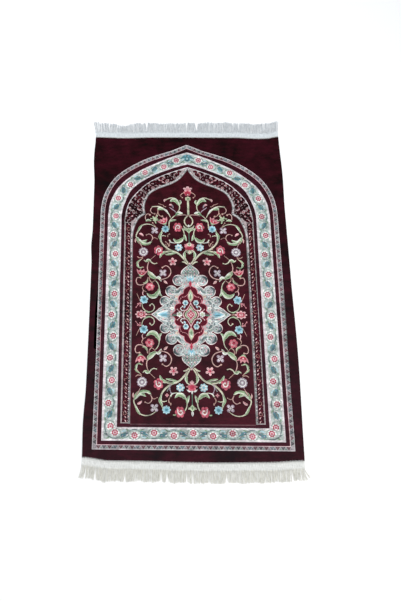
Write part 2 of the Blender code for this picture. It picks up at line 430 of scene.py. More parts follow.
def midline(outer, inner, foot):
    """The line half-way between two lines of the arch, up the side and on to the point."""
    halves = [resampled(smooth(ARCH[name]), ARCH_SAMPLES) for name in (outer, inner)]
    arch = (halves[0] + halves[1]) / 2
    side = np.stack([np.full(SIDE_SAMPLES, arch[0, 0]), np.linspace(foot, SPRING, SIDE_SAMPLES)], 1)
    return np.vstack([side[:-1], arch])


def stations(path, first, pitch):
    """Points at equal steps along a path, with the directions along it and to its inner side."""
    run = np.concatenate([[0], np.cumsum(np.hypot(*np.diff(path, axis=0).T))])
    side = normals(path)
    for at in np.arange(first, max(run[-1] - 0.3 * pitch, first + 1), pitch):
        point = np.array([np.interp(at, run, path[:, 0]), np.interp(at, run, path[:, 1])])
        inward = np.array([np.interp(at, run, side[:, 0]), np.interp(at, run, side[:, 1])])
        yield point, np.array([-inward[1], inward[0]]), inward


def path_length(path):
    """How long a path is."""
    return np.hypot(*np.diff(path, axis=0).T).sum()


def station(path, at):
    """One such point, at a length along the path."""
    return next(stations(path, at, ENDLESS))


def put(colour, shape, here):
    """Lay a small shape given as (along, inward) at a station, and its twin on the right."""
    point, forward, inward = here
    shape = np.asarray(shape, float)
    paint(colour, point + shape[:, :1] * forward + shape[:, 1:] * inward, 2)


def spot(here, along, inward):
    """A place near a station."""
    return here[0] + along * here[1] + inward * here[2]


print("the border is", round(path_length(midline("border", "panel", FOOT["border"]))), "mm long on each side")

# %% [markdown]
# The guard stripe is a pale zigzag. It is left over between a row of dark triangles and a row of light
# ones, which step along the line and turn with it.

# %% Guard stripe
GUARD_PITCH = 17.7
GUARD_MIDDLE = 7.6  # how far the stripe's middle lies inside its line
GUARD_CORNER = (-322, FOOT["guard"] + 14)
GUARD_SAMPLES = 700
DARK, LIGHT = ["soot", "umber", "slate", "umber"], ["moss", "ash", "slate", "moss"]


def guard_row(path, first):
    """Dark triangles that point out and light ones that point in, along a path."""
    for k, here in enumerate(stations(path, first, GUARD_PITCH)):
        put(DARK[k % 4], [(-7.6, 5.4), (7.6, 5.4), (0.8, -5.0), (-0.8, -5.0)], here)
        put("ash", [(-2.2, 3.8), (2.2, 3.8), (0, 0.4)], here)
        put(LIGHT[k % 4], [(4.4, -3.8), (13.3, -3.8), (8.85, 2.4)], here)


guard_side = resampled(np.vstack([[GUARD_CORNER], smooth(ARCH["guard"])]), GUARD_SAMPLES)
guard_row(guard_side + normals(guard_side) * GUARD_MIDDLE, GUARD_PITCH / 2)
foot_level = FOOT["guard"] + GUARD_MIDDLE
foot_guard = np.linspace((0, foot_level), (GUARD_CORNER[0], foot_level), SIDE_SAMPLES)
guard_row(foot_guard, 0)
tally()

# %% [markdown]
# ## The flowered border
# A vine winds up the border from side to side. In each of its bends sits a rosette with a tendril
# round it, and where it crosses the middle, a blue-green leaf bud. The bends have the same length all
# the way, so the whole border follows from a list of places along its middle line.

# %% Rosette and palmette


def rosette(centre):
    """A round flower in white, crimson and rose rings."""
    petals("white", centre, 8, 11, 13.6, 2)
    petals("crimson", centre, 8, 8.2, 10.8, 2, 22.5)
    petals("rose", centre, 8, 6.8, 8.0, 2, 22.5)
    disc("rim", centre, 5.8, 2)
    petals("rose", centre, 5, 2.6, 4.4, 2)
    disc("crimson", centre, 1.6, 2)


def palmette(here, flip):
    """The blue-green palmette half-way between two rosettes, with the wings that sweep along the vine."""
    def bent(*places):
        return [spot(here, along, flip * inward) for along, inward in places]
    leaf(bent((-4, -5), (-15, -12), (-28, -10)), 6.5, 2, "mist", "moss")
    leaf(bent((4, 5), (15, 12), (28, 10)), 6.5, 2, "moss", "mist")
    leaf(bent((10, -5), (1, -11), (-9, -12)), 6, 2, "sky", "mist")
    leaf(bent((-13, 3), (-4, 9), (7, 10)), 6.5, 2, "moss", "mist")
    leaf(bent((13, 8), (1, 0), (-12, -4)), 14.5, 2, "teal", "slate")
    leaf(bent((9, 0), (1, -4), (-7, -5)), 3.6, 2, "moss", None)
    leaf(bent((7, 7), (-1, 4), (-9, 4)), 5, 2, "teal", "slate")


print("each rosette is six rounds, each palmette seven leaves")

# %% Run of the border
MEANDER_STEP, MEANDER_SWING = 3.5, 14.2
ROSETTE_SHIFT = 4.4  # how far a rosette sits off the middle, into its bend


def border_run(path, places):
    """Lay the meander, its palmettes and the rosettes at these lengths along a path."""
    steps = np.arange(3, path_length(path) - 2, MEANDER_STEP)
    phase = np.interp(steps, places, np.arange(len(places)))
    pitch = places[1] - places[0]
    phase = np.where(steps < places[0], (steps - places[0]) / pitch, phase)
    phase = np.where(steps > places[-1], len(places) - 1 + (steps - places[-1]) / pitch, phase)
    for shift, width, colour in ((0, 3.8, "moss"), (0.4, 2.5, "slate")):
        swing = shift - MEANDER_SWING * np.cos(math.pi * phase)
        wave = [spot(station(path, at), 0, inward) for at, inward in zip(steps, swing)]
        band(colour, np.array(wave), width, 2)
    for k, at in enumerate(places):
        here, side = station(path, at), (-1) ** k
        if k + 1 < len(places):
            palmette(station(path, (at + places[k + 1]) / 2), side)
        first = at < 45 and path[0, 0] < -200  # the corner leaves no room for both tendrils
        for sign in ((1,) if first else (-1, 1)):
            def off(*spots):
                return [spot(here, sign * along, side * inward) for along, inward in spots]
            vine(off((3, 17), (12, 14.5), (18, 7), (18.5, -3), (14, -9)), 2.0, 2.0, "moss", 2)
            leaf(off((19, -9), (23, -13), (29, -15)), 4.4, 2, "leaf", "moss")
            leaf(off((9, 16.5), (15, 17.5), (22, 14.5)), 4.0, 2, "white", None)
            leaf(off((20, 1), (24, 4), (28, 3)), 3.4, 2, "white", "lilac")
            leaf(off((10, -15.5), (15, -17), (20, -16)), 3.4, 2, "white", None)
            disc("lilac", off((24.5, -5))[0], 1.9, 2)
            disc("white", off((15, 2.5))[0], 1.8, 2)
        rosette(spot(here, 0, ROSETTE_SHIFT * side))


print("the vine swings", MEANDER_SWING, "mm to each side")

# %% Places of the rosettes
SIDE_PITCH, FOOT_PITCH = 74.05, 62.5
FIRST_PLACE = 39.4
ARCH_PITCHES = [73, 72, 74, 73.5, 53.5]
side_places = FIRST_PLACE + SIDE_PITCH * np.arange(11)
arch_places = side_places[-1] + np.cumsum(ARCH_PITCHES)
border_run(midline("border", "panel", FOOT["border"] + 6), [*side_places, *arch_places])
foot_middle = (FOOT["border"] + FOOT["panel"]) / 2
border_run(np.linspace((0, foot_middle), (-286, foot_middle), 120), FOOT_PITCH * np.arange(5))
print(len(side_places) + len(arch_places), "rosettes on each side")

# %% Point of the border
leaf([(0, 503), (-11, 506), (-26, 497)], 9, 2, "teal", "slate")
leaf([(-4, 500), (-13, 493), (-24, 489)], 7, 2, "moss", "sky")
leaf([(0, 486), (-6, 498), (0, 518)], 9, 2, "teal", "slate")
leaf([(-2, 508), (-8, 513), (-17, 510)], 5, 2, "blue", "teal")
petals("sky", (0, 499), 5, 2.4, 4.6, 1, 90)
tally()

# %% [markdown]
# ## The scroll band
# Between border and field lies a band of dark, dense scroll work on a pale ground. On the real rug its
# figures look like flowing script at a distance. Here they are a plain scroll: four kinds of stroke, a
# curl, an S, a cup and a wave, follow one another in rows, with their kind and hand worked out from
# their number. Where the band widens into the arch there is room for more rows. The field's own edge
# is an ogee that leans in under the point.

# %% Edge of the field
EDGE_SAMPLES = 500
OGEE = [  # the field's left edge, from its point to the lobe and from the lobe down to the straight side
    [(0, 461), (-8, 445), (-17.5, 432), (-33, 413.5), (-62, 395), (-113, 374), (-143, 352.5), (-159, 321),
     (-163.5, 296), (-160, 270)],
    [(-160, 270), (-182, 253.5), (-197.5, 222), (-205, 190), (-206.2, 150), (-206.2, 60)],
]
left_edge = np.vstack([smooth(OGEE[0]), smooth(OGEE[1])[1:], [(-206.2, -200), (-206.2, FOOT["band"] - 1)]])
field_edge = resampled(left_edge, EDGE_SAMPLES)
outward = normals(field_edge)
arched = np.clip((field_edge[:, 1] - 60) / 150, 0, 1)  # 0 along the straight side, 1 in the arch
print("the field's edge is", round(path_length(left_edge)), "mm long")

# %% Scroll figures
STROKE, KNOT = 8.6, 3.9  # width of a dark stroke, radius of the knot that joins it to the next
FIGURES = [  # a curl, an S, a cup and a wave, each as places along the band and into it
    [(-1.0, -0.7), (0.1, -1.1), (1.1, -0.4), (0.9, 0.7), (-0.1, 1.0), (-0.7, 0.4), (-0.2, -0.1)],
    [(-1.3, 0.5), (-0.7, 1.1), (0.0, 0.5), (0.0, -0.5), (0.7, -1.1), (1.3, -0.5)],
    [(-1.0, 0.9), (-1.2, -0.1), (-0.4, -1.0), (0.6, -0.8), (0.9, 0.2), (0.4, 0.6)],
    [(-1.2, -1.0), (-0.3, -0.5), (0.3, 0.5), (1.2, 1.0)],
]


def figure(here, k, length, depth, width, colour, lift=0, ball=0):
    """One curled stroke of the scroll work at a station: its kind and hand follow from its number."""
    hand = (1, 1, -1, -1, 1, -1)[k % 6]
    spots = [spot(here, x * length + lift, y * depth * hand + lift) for x, y in FIGURES[(k * 3) % 4]]
    path = smooth(spots, spacing=3.2)
    band(colour, path, width * np.linspace(0.95, 0.85, len(path)), 2)
    if ball:
        disc(colour, spots[-1], ball, 2)


def scroll_row(path, first, pitch, size, room, start):
    """Thick dark strokes along a path that leave pale gaps, with thinner lit and red ones upon them."""
    for k, here in enumerate(stations(path, first, pitch), start):
        away = here[0] - field_edge
        nearest = np.hypot(*away.T).argmin()
        if away[nearest] @ outward[nearest] < room:
            continue
        figure(here, k, size, size, STROKE, "well", 0, STROKE / 2)
        disc("well", spot(here, 0.5 * pitch, 0.5 * size * (1, -1, -1)[k % 3]), KNOT, 2)
        if k % 2:
            figure(here, k, size, size, 2.2, ("wine", "deep")[k // 2 % 2])
        if k % 3 != 1:
            light = ("pink", "haze", "blush", "pink")[k % 4]
            figure(here, k + 1, 0.6 * size, 0.6 * size, 1.7, light, 1.2, 1.1)


print(len(FIGURES), "kinds of figure")

# %% Rows of the scroll
SCROLL_ROWS = [  # how far inside the arch's line, pitch, size of a figure, room it needs, first number
    (13.2, 15.2, 6.9, 8.2, 0), (26.8, 15.6, 7.0, 8, 1), (40.2, 15.2, 7.0, 8, 3), (53.6, 15.4, 7.0, 8, 2),
]
band("rim", inset(smooth(ARCH["band"]), 1.4)[12:], 2.8, 2)
for depth, pitch, size, room, start in SCROLL_ROWS:
    scroll_row(inset(smooth(ARCH["band"]), depth), 4 + 4 * (start % 2), pitch, size, room, start)
tally()

# %% [markdown]
# The band's straight sides are too narrow for figures. They carry a rope instead: a dark core with
# notched edges, pale beads and now and then a red curl. A silver line with flecks of pink and
# brown parts the band from the field all the way round.

# %% Rope
ROPE_MIDDLE, ROPE_WIDTH, ROPE_PITCH = -218.3, 20.6, 5.9
spine = np.linspace((ROPE_MIDDLE, FOOT["band"] + 3), (ROPE_MIDDLE, SPRING - 6), 400)
band("well", spine, ROPE_WIDTH, 2)
for k, here in enumerate(stations(spine, 5, ROPE_PITCH)):
    put("rim", [(-1.1, 10.4), (1.1, 10.4), (0.4, (7.8, 8.6, 7.2)[k % 3])], here)
    if k % 2:
        put("haze", [(-1.4, -10.5), (1.4, -10.5), (0.6, -7.8)], here)
    if k % 13 in (0, 2, 5, 7):
        leaf([spot(here, -3.8, 3.6), spot(here, 0.3, 2.0), spot(here, 3.4, -1.6)], 3.0, 2, "pink", None, 1.8)
    elif k % 13 in (4, 10):
        figure(here, k, 6.4, 5.6, 3.4, "wine")
        figure(here, k, 5.4, 4.8, 1.0, "tendril")
    else:
        put("deep", [(-2.6, -3.6), (0.4, -4.6), (2.6, -0.6), (-0.4, 0.4)], here)
tally()

# %% Silver line
paint("gap", np.vstack([niche("panel"), niche("panel")[:1], niche("band")[:1], niche("band")[::-1]]), 1)
inner = field_edge - outward * (5.0 - 0.9 * arched)[:, None]
paint("field", np.vstack([inner, inner[::-1] * (-1, 1)]), 1)
middle = field_edge - outward * (1.4 - 1.8 * arched)[:, None]
band("grey", middle, 7.2 + 1.4 * arched, 2)
crest = field_edge[:, 1] > 120  # the line is brighter round the arch
band("silver", (field_edge + outward * 0.4)[crest], 8.4, 2)
band("rim", (field_edge + outward * 0.8)[crest], 2.0, 2)
for k, here in enumerate(stations(field_edge, 6, 11.5)):  # flecks along it
    fleck = ("rim", "silver", "pink", "umber", "rim")[k % 5]
    put(fleck, [(-2.4, -0.6), (1.6, -1.4), (2.6, 1.6), (-1.4, 2.4)], here)
band("umber", inner + outward * 0.3, 1.0, 2)
band("umber", [(-201, -472.5), (0, -472.5)], 3.0, 2)
tally()

# %% [markdown]
# ## The field
# The field is strewn with flowers of a few kinds on curling stems. The lower half mirrors the upper
# one about the medallion, and the right half mirrors the left. So each kind of flower is a function of
# its place and size, and places are given for the upper left quarter alone.

# %% Flowers


def rose(centre, size, turn=0):
    """A full red flower with a pale curl in its heart."""
    petals("rose", centre, 6, size * 0.76, size * 1.02, 4, turn, (0.92, 1.04))
    petals("crimson", centre, 6, size * 0.58, size * 0.76, 4, turn + 30, (0.92, 1.04))
    lit = (centre[0] + size * 0.08, centre[1] + size * 0.1)
    petals("blush", lit, 5, size * 0.46, size * 0.62, 4, turn + 20)
    petals("red", centre, 5, size * 0.34, size * 0.46, 4, turn + 50)
    vine([(centre[0] + size * a, centre[1] + size * b) for a, b in
          ((-0.45, -0.62), (-0.35, 0.1), (0.05, 0.42), (0.42, 0.1), (0.15, -0.3), (-0.08, -0.05))],
         size * 0.2, 0, "white", 4, (0.6, 0.6))
    disc("leaf", centre, size * 0.12)


def star(centre, size, outer="sky", middle="blue", heart="teal", count=8, turn=0):
    """A blue flower in three rings of petals."""
    petals(outer, centre, count, size * 0.7, size, 4, turn)
    petals(middle, centre, count, size * 0.45, size * 0.68, 4, turn)
    petals(heart, centre, 6, size * 0.26, size * 0.4, 4, turn)


print("flowers in rings: rose and star")

# %% Pansy, button, tulip and sprig


def pansy(centre, size):
    """Four lilac petals with a pale heart."""
    petals("lilac", centre, 4, size * 0.34, size, turn=45)
    petals("rim", centre, 4, size * 0.2, size * 0.66, turn=45)
    petals("ash", centre, 4, size * 0.12, size * 0.42, turn=45)
    disc("white", centre, size * 0.16)


def button(centre, size):
    """A round lilac flower in rings."""
    petals("lilac", centre, 10, size * 0.88, size)
    petals("white", centre, 10, size * 0.66, size * 0.78)
    disc("ash", centre, size * 0.58)
    disc("lilac", centre, size * 0.42)
    disc("white", centre, size * 0.22)


def tulip(centre, size, turn=0, copies=4):
    """A side-seen red flower with three points."""
    c, s = math.cos(math.radians(turn)), math.sin(math.radians(turn))

    def at(x, y):
        return centre[0] + size * (c * x - s * y), centre[1] + size * (s * x + c * y)
    cup = [(-1, 0.62), (-0.5, 0.3), (-0.34, 0.72), (0, 0.36), (0.34, 0.78), (0.52, 0.28), (1, 0.5),
           (0.72, -0.1), (0.3, -0.52), (-0.3, -0.52), (-0.74, -0.06)]
    heart = [(-0.68, 0.3), (-0.3, 0.08), (0, 0.2), (0.3, 0.08), (0.66, 0.24), (0.3, -0.36), (-0.3, -0.36)]
    paint("blush", [at(*place) for place in cup], copies)
    paint("red", [at(*place) for place in heart], copies)
    disc("pink", at(0, -0.05), size * 0.15, copies)
    leaf([at(-0.45, -0.3), at(0, -0.62), at(0.45, -0.3)], size * 0.24, copies)


def sprig(root, tips, colour="vine", width=2.4, ball=2.2, copies=4):
    """A few short shoots from one root, each a little bent."""
    for u, v in tips:
        middle = ((root[0] + u) / 2 + (v - root[1]) * 0.12, (root[1] + v) / 2 - (u - root[0]) * 0.12)
        vine([root, middle, (u, v)], width, ball, colour, copies)


print("more flowers: pansy, button and tulip")

# %% [markdown]
# The great scroll grows out of the medallion's tip, swings out, and ends in smaller curls that hold
# the flowers. Thick stems come first and small parts after them, since what is laid later lies on top.

# %% Great scrolls
vine([(-94, 210), (-101, 192), (-103, 172), (-98, 156), (-86, 141), (-68, 127), (-50, 121), (-35, 111),
      (-20, 94), (-6, 76)], 7, thin=(0.4, 0.7))
leaf([(-96, 198), (-104, 180), (-99, 160)], 9)
leaf([(-106, 98), (-99, 114), (-84, 121), (-64, 121)], 9)
leaf([(-86, 110), (-66, 113), (-44, 118)], 7)
vine([(-88, 120), (-76, 124), (-62, 124)], 5)
leaf([(-62, 128), (-60, 121), (-50, 118)], 7)
vine([(-100, 182), (-92, 184), (-84, 182)], 3.4, 1.8)
vine([(-116, 214), (-134, 226), (-152, 229), (-168, 224), (-178, 213), (-187, 194), (-190, 180),
      (-180, 164), (-166, 151), (-150, 154), (-138, 160)], 4.6, thin=(0.4, 0.5))
leaf([(-168, 226), (-178, 212), (-184, 196)], 8)
leaf([(-188, 178), (-178, 162), (-168, 158), (-150, 168)], 14)
leaf([(-184, 168), (-168, 154), (-146, 152), (-133, 161)], 9)
leaf([(-190, 174), (-193, 164), (-192, 155)], 5, colour="pink", shade="tendril")
vine([(-136, 162), (-131, 172), (-133, 183), (-143, 190), (-153, 186)], 3.2, 2.6, "tendril")
vine([(-131, 172), (-124, 176), (-114, 171)], 2.0, 1.5, "tendril")
leaf([(-179, 192), (-171, 189), (-163, 181)], 8, colour="pink", shade="blush")
vine([(-182, 163), (-174, 150), (-168, 138)], 3.2, 0, "tendril")
pansy((-123, 204), 15)
vine([(-116, 214), (-122, 222), (-130, 234)], 2.4, 2.6, "tendril", 2)
star((-84, 210), 14)
vine([(-71, 212), (-71, 226), (-69, 240), (-60, 253), (-48, 264), (-40, 268)], 4.4, copies=2)
leaf([(-69, 238), (-58, 244), (-43, 246)], 7, 2)
rose((-40, 217), 17.5)
vine([(-24, 213), (-18, 199), (-17, 184), (-24, 170), (-40, 158), (-58, 156), (-70, 166)], 4.2, 3.0)
leaf([(-17, 190), (-14, 176), (-9, 163)], 9)
leaf([(-20, 176), (-32, 163), (-46, 161), (-57, 173)], 13)
vine([(-70, 166), (-66, 158), (-54, 156)], 3.4, 0, "white")
star((-38, 138), 14, "sky", "white", "blue", 7)
rose((-110, 127), 18, turn=30)
sprig((-73, 141), [(-76, 152), (-84, 160), (-70, 158)], "tendril", copies=2)
vine([(-84, 128), (-79, 140), (-84, 150)], 2.0, 1.6, "tendril", 2)
vine([(-76, 178), (-76, 186), (-70, 190)], 2.6, 2.4, "tendril")
tally()

# %% Outer sprays
button((-164, 121), 17)
vine([(-186, 103), (-178, 98), (-168, 100), (-164, 106)], 2.6, 0, "tendril")
vine([(-166, 98), (-176, 88), (-183, 78), (-184, 66), (-176, 60), (-164, 63)], 3.0, 1.8, "tendril")
leaf([(-172, 92), (-184, 84), (-190, 76)], 4.5)
leaf([(-184, 80), (-184, 68), (-178, 60)], 7)
leaf([(-184, 64), (-174, 60), (-164, 66)], 4)
vine([(-121, 108), (-131, 99), (-140, 90)], 2.0, 0, "tendril")
vine([(-162, 90), (-155, 84), (-145, 86), (-138, 94)], 4.2)
vine([(-141, 92), (-136, 82), (-126, 76), (-117, 78)], 4.6, 2.2)
leaf([(-156, 84), (-146, 90), (-138, 84)], 9)
vine([(-143, 86), (-148, 74), (-150, 60), (-147, 46)], 3.4, 0, "tendril", thin=(0.6, 0.9))
tally()

# %% Pansies and their leaves
petals("pink", (-60, 84), 5, 4.5, 15.5, 4, 20)
burst("rose", (-60, 84), 5, 3.5, 12.5, 4, 20)
disc("red", (-60, 84), 2.6)
leaf([(-148, 47), (-138, 37), (-126, 26), (-113, 22)], 15)
leaf([(-146, 50), (-142, 38), (-128, 30)], 8, colour="vine")
leaf([(-120, 22), (-110, 26), (-104, 18), (-101, 10)], 9, colour="white", shade="sage")
vine([(-105, 17), (-90, 20), (-76, 27), (-67, 43), (-71, 60), (-84, 69), (-97, 62)], 3.6, 3.0, "tendril",
     thin=(0.8, 0.6))
pansy((-95, 42), 15)
leaf([(-92, 14), (-86, 8), (-79, 2)], 8, colour="pink", shade="tendril")
vine([(-142, 30), (-141, 14), (-132, 8), (-124, 14), (-118, 24)], 2.2, 0, "tendril")
vine([(-139, 14), (-134, 6), (-130, 2)], 2, 0, "tendril")
tally()

# %% Flowers beside the medallion
tulip((-170, 42), 20, -8)
vine([(-147, 26), (-150, 12), (-158, 2), (-172, -3), (-184, 0), (-189, 12), (-185, 24), (-174, 24)], 3.6,
     3.2, "tendril", thin=(0.7, 0.6))
leaf([(-148, 18), (-154, 6), (-166, 4)], 7, colour="vine")
petals("rose", (-140, -9), 6, 12, 15.5, 4, 10)
petals("blush", (-140, -9), 5, 7.5, 11, 4, 40)
petals("red", (-142, -11), 5, 4, 6.5, 4, 10)
disc("pink", (-134, -5), 3.6)
vine([(-121, 14), (-112, 2), (-108, -14), (-111, -28), (-122, -41), (-136, -46), (-149, -40)], 4.0,
     thin=(0.5, 0.5))
leaf([(-108, -14), (-108, -32), (-98, -44)], 9)
leaf([(-108, -22), (-122, -42), (-138, -44), (-152, -32)], 15)
vine([(-153, -28), (-163, -22), (-167, -12), (-162, -4)], 2.6, 0, "tendril")
vine([(-163, -22), (-166, -34), (-162, -42)], 3.2, 0, "pink")
star((-161, -56), 15, "sky", "blue", "teal", 6, turn=15)
vine([(-186, -34), (-180, -48), (-174, -60)], 2.0, 1.4, "tendril")
sprig((-170, -68), [(-174, -78), (-188, -83), (-182, -70)], "blush")
vine([(-168, -68), (-165, -84), (-155, -96), (-141, -100), (-128, -93), (-125, -80), (-133, -70),
      (-140, -76)], 3.4, 3.0, "vine", thin=(0.6, 0.7))
leaf([(-160, -92), (-146, -100), (-132, -98)], 5)
petals("pink", (-170, -108), 8, 12, 21, 2, 0, (1.0, 0.72))
petals("red", (-170, -108), 8, 10, 15, 2, 0, (1.0, 0.62))
petals("pink", (-170, -108), 8, 5, 8, 2, 0, (1.0, 0.7))
disc("red", (-170, -108), 2.4, 2)
vine([(-150, -108), (-143, -108), (-136, -108)], 3, 0, "tendril", 2)
tally()

# %% Sprays under the upper scrolls
tulip((-90, 240), 20, 32, 2)
sprig((-122, 250), [(-136, 251), (-113, 262), (-119, 234), (-106, 244), (-128, 258)], "sage", 3.0, 2.6, 2)
petals("sage", (-121, 249), 5, 4, 10, 2)
leaf([(-156, 240), (-146, 245), (-134, 241)], 8, 2)
tally()

# %% [markdown]
# On the centre line stand the parts that are their own mirror image: a finial with a loop, a red flower
# held between two arms over the medallion, and their fellows below it.

# %% Centre line of the field
vine([(0, 194), (0, 176), (0, 155)], 3.4, 0, "green", 4, (0.8, 0.8))
paint("sage", [(-11, 205), (0, 216), (11, 205), (0, 193)], 4)
paint("leaf", [(-6, 205), (0, 211), (6, 205), (0, 198)], 4)
leaf([(-4, 214), (-11, 213), (-20, 224)], 7, 2, "cream", "leaf")
leaf([(-3, 210), (-14, 208), (-21, 214)], 6, 2, "sage", "green")
loop = smooth([(0, 219), (-9, 225), (-15, 238), (-12, 252), (0, 265)])
band("vine", loop, 4.4, 2)
band("cream", loop, 1.4, 2)
paint("white", [(-5, 221), (0, 228), (5, 221), (0, 216)], 1)
leaf([(-3, -423), (-8, -420), (-14, -425)], 6, 2, "cream", "leaf")
leaf([(0, -430), (0, -438), (0, -447)], 8, 1, "white", "silver")
tally()

# %% Red flowers over and under the medallion
petals("rose", (0, 134), 6, 12, 18, 1, 30)
petals("red", (0, 134), 5, 8, 12, 1, 90)
petals("blush", (-11, 146), 5, 4, 7.5, 2)
leaf([(0, 143), (-4, 150), (0, 158)], 8, 2, "cream", "leaf")
leaf([(0, 126), (-7, 122), (-13, 124)], 7, 2, "pink", "blush")
leaf([(0, 128), (-5, 120), (0, 112)], 8, 2, "cream", "leaf")
burst("blush", (0, -351), 8, 12, 20, 1, 0, (1, 0.9))
petals("rose", (0, -352), 6, 9, 14, 1)
petals("red", (0, -353), 5, 5, 8, 1, 90)
petals("pink", (0, -338), 5, 4, 7.5, 1, 90)
leaf([(-3, -366), (-10, -366), (-18, -360)], 5, 2, "white", None)
leaf([(0, -364), (0, -369), (0, -376)], 6, 1, "white", None)
vine([(-4, 76), (-14, 92), (-19, 108), (-16, 122), (-7, 128)], 5.4, thin=(0.6, 0.6))
leaf([(-17, 98), (-19, 112), (-14, 124)], 9)
vine([(-28, 84), (-18, 82), (-8, 74)], 6, 0, "vine", 4, (0.4, 0.8))

# sprigs of the lower half alone
vine([(-82, -367), (-76, -357), (-70, -348)], 3.2, 2.2, "silver", 2)
vine([(-71, -343), (-73, -358), (-69, -371)], 3.4, 2.2, "lilac", 2)
petals("blush", (-82, -379), 4, 3, 6.5, 2)
vine([(-72, -386), (-77, -396), (-70, -409)], 3.0, 2.4, "tendril", 2)
leaf([(-64, -441), (-58, -443), (-52, -440)], 4, 2)
tally()

# %% [markdown]
# ## The medallion
# The medallion is a pale, marbled shape with rounded lobes and a crimson heart. Its outline mirrors
# both ways, so a quarter of it is enough. The heart's edge is a run of arcs from corner to corner. The
# body's edge is less regular, so it is a smooth curve, and the lobes beside it are plain discs.

# %% Outlines in four mirrored quarters


def fourfold(quarter, depth=0):
    """A closed outline from its upper left quarter, top to left, moved in by a depth."""
    q = np.array(quarter, float)
    if depth:
        q = q - depth * normals(q)
        q = q[(q[:, 0] < -0.4) & (q[:, 1] > 0.4)]
    left = np.vstack([q, q[::-1] * (1, -1)])
    return np.vstack([left, left[::-1] * (-1, 1)]) + (0, MIDDLE)


def within(point, outline):
    """Whether a point lies in an outline: a line to its right crosses the edge an odd number of times."""
    (u, v), (a, b), (c, d) = point, outline.T, np.roll(outline, -1, 0).T
    crossed = (b > v) != (d > v)
    return ((u < a + (v - b) * (c - a) / np.where(crossed, d - b, 1)) & crossed).sum() % 2 == 1


def scallop(corners, rises):
    """Arcs from corner to corner, each standing out by its rise."""
    run = []
    for a, b, rise in zip(np.array(corners, float), np.array(corners[1:], float), rises):
        out = np.array([b[1] - a[1], a[0] - b[0]]) / np.hypot(*(b - a))
        half = np.hypot(*(b - a)) / 2
        sweep = 2 * math.atan2(rise, half)
        r = half / math.sin(sweep)
        mid = (a + b) / 2 + out * (rise - r)
        ax = (b - a) / (2 * half)
        for w in np.linspace(-sweep, sweep, max(3, int(abs(r * sweep) / 1.5)))[:-1]:
            run.append(mid + r * (math.sin(w) * ax + math.cos(w) * out))
    run.append(np.array(corners[-1], float))
    return np.array(run)


print("a scalloped arc of 4 mm has", len(scallop([(0, 4), (-4, 0)], [1])), "points")

# %% Body and heart outlines
LOBES = [((-41, 15), 20.5), ((-66, -25), 21), ((-88, -61), 18.5)]  # centre and radius
BODY = smooth([(0, 190), (-4, 182), (-12, 174.5), (-22, 167), (-30, 158), (-32.5, 149), (-31, 140),
               (-26, 128), (-26, 112), (-33, 102), (-46, 92), (-60, 74), (-80, 50), (-96, 30),
               (-110, 21), (-122, 10), (-137, 0)])
HEART_CORNERS = [(0, 118), (-10, 101), (-26, 77), (-40, 41), (-55, 15.5), (-73, 0)]
HEART = scallop(HEART_CORNERS, [-2.5, 5.5, 11, 8.6, -1.5])
for colour, depth in (("pink", 0), ("white", 0.9), ("slate", 3.0), ("mist", 4.0)):
    for centre, radius in LOBES:
        disc(colour, centre, radius - depth)
    paint(colour, fourfold(BODY, depth), 1)
print("the medallion's edge has", len(thinned(fourfold(BODY))), "points")

# %% [markdown]
# On the real rug the pale body is filled with small leaves and curls in many quiet colours. They
# are strewn here on a loose grid with a little chance in place, turn, size and dye, and none falls on
# the heart or over the edge. A fixed seed keeps the picture the same each time.

# %% Marbled ground
ROW, STEP, JITTER = 7.0, 8.2, 1.2  # the grid, and how far a leaf may lie off it
dice = random.Random(11)
free, taken = fourfold(BODY, 8), fourfold(HEART, -4)
MARBLE = ["white", "slate", "blush", "grey", "lilac", "pink", "grey", "ash", "pink", "leaf", "ash", "slate"]
for row, v in enumerate(np.arange(MIDDLE + 3, 78, ROW)):
    for u in np.arange(-128 + STEP / 2 * (row % 2), 1, STEP):
        place = np.array([u + dice.uniform(-JITTER, JITTER), v + dice.uniform(-JITTER, JITTER)])
        turn, size, tone = dice.uniform(0, math.pi), dice.uniform(3.6, 5.0), dice.randrange(12)
        lobed = any(np.hypot(*(place - centre)) < radius - 6.5 for centre, radius in LOBES)
        if within(place, taken) or not (lobed or within(place, free)):
            continue
        along = np.array([math.cos(turn), math.sin(turn)]) * size
        across = np.array([-math.sin(turn), math.cos(turn)])
        if within((place - (0, MIDDLE)) * 0.8 + (0, MIDDLE), fourfold(HEART)):
            tone = (4, 5, 6, 8, 10, 5)[tone % 6]  # pinker beside the heart
        leaf([place - along, place + across, place + along], size * 0.95, 4, MARBLE[tone], None, 1.6)
        vine([place + along, place + 3.4 * across, place - 0.6 * along], 1.3, 0, MARBLE[(tone * 5 + 1) % 12])
tally()

# %% Lobes and crown
for centre, radius in LOBES:  # a dark crescent, a leaf and a curl in each lobe
    def at(*spots):
        return [(centre[0] + radius * x, centre[1] + radius * y) for x, y in spots]
    leaf(at((-0.1, 0.72), (-0.68, 0.3), (-0.66, -0.45)), 0.40 * radius, 4, "slate", "soot")
    leaf(at((0.15, 0.5), (-0.22, 0.05), (0.1, -0.55)), 0.34 * radius, 4, "moss", "lilac")
    vine(at((-0.2, -0.6), (0.45, -0.4), (0.55, 0.2), (0.1, 0.45), (-0.1, 0.1)), 2.0, 1.6, "white")
for step in range(7):  # lattice of the crown
    for k in range(step + 1):
        u, v = -5.1 * step + 10.2 * k, 73 - 6.2 * step
        if u <= 0.1:
            lozenge = [(u - 3.6, v), (u, v + 4.2), (u + 3.6, v), (u, v - 4.2)]
            paint("green" if (step + k) % 3 else "soot", lozenge, 4)
            disc(("white", "sage", "pink")[step % 3], (u, v), 1.2)
tally()

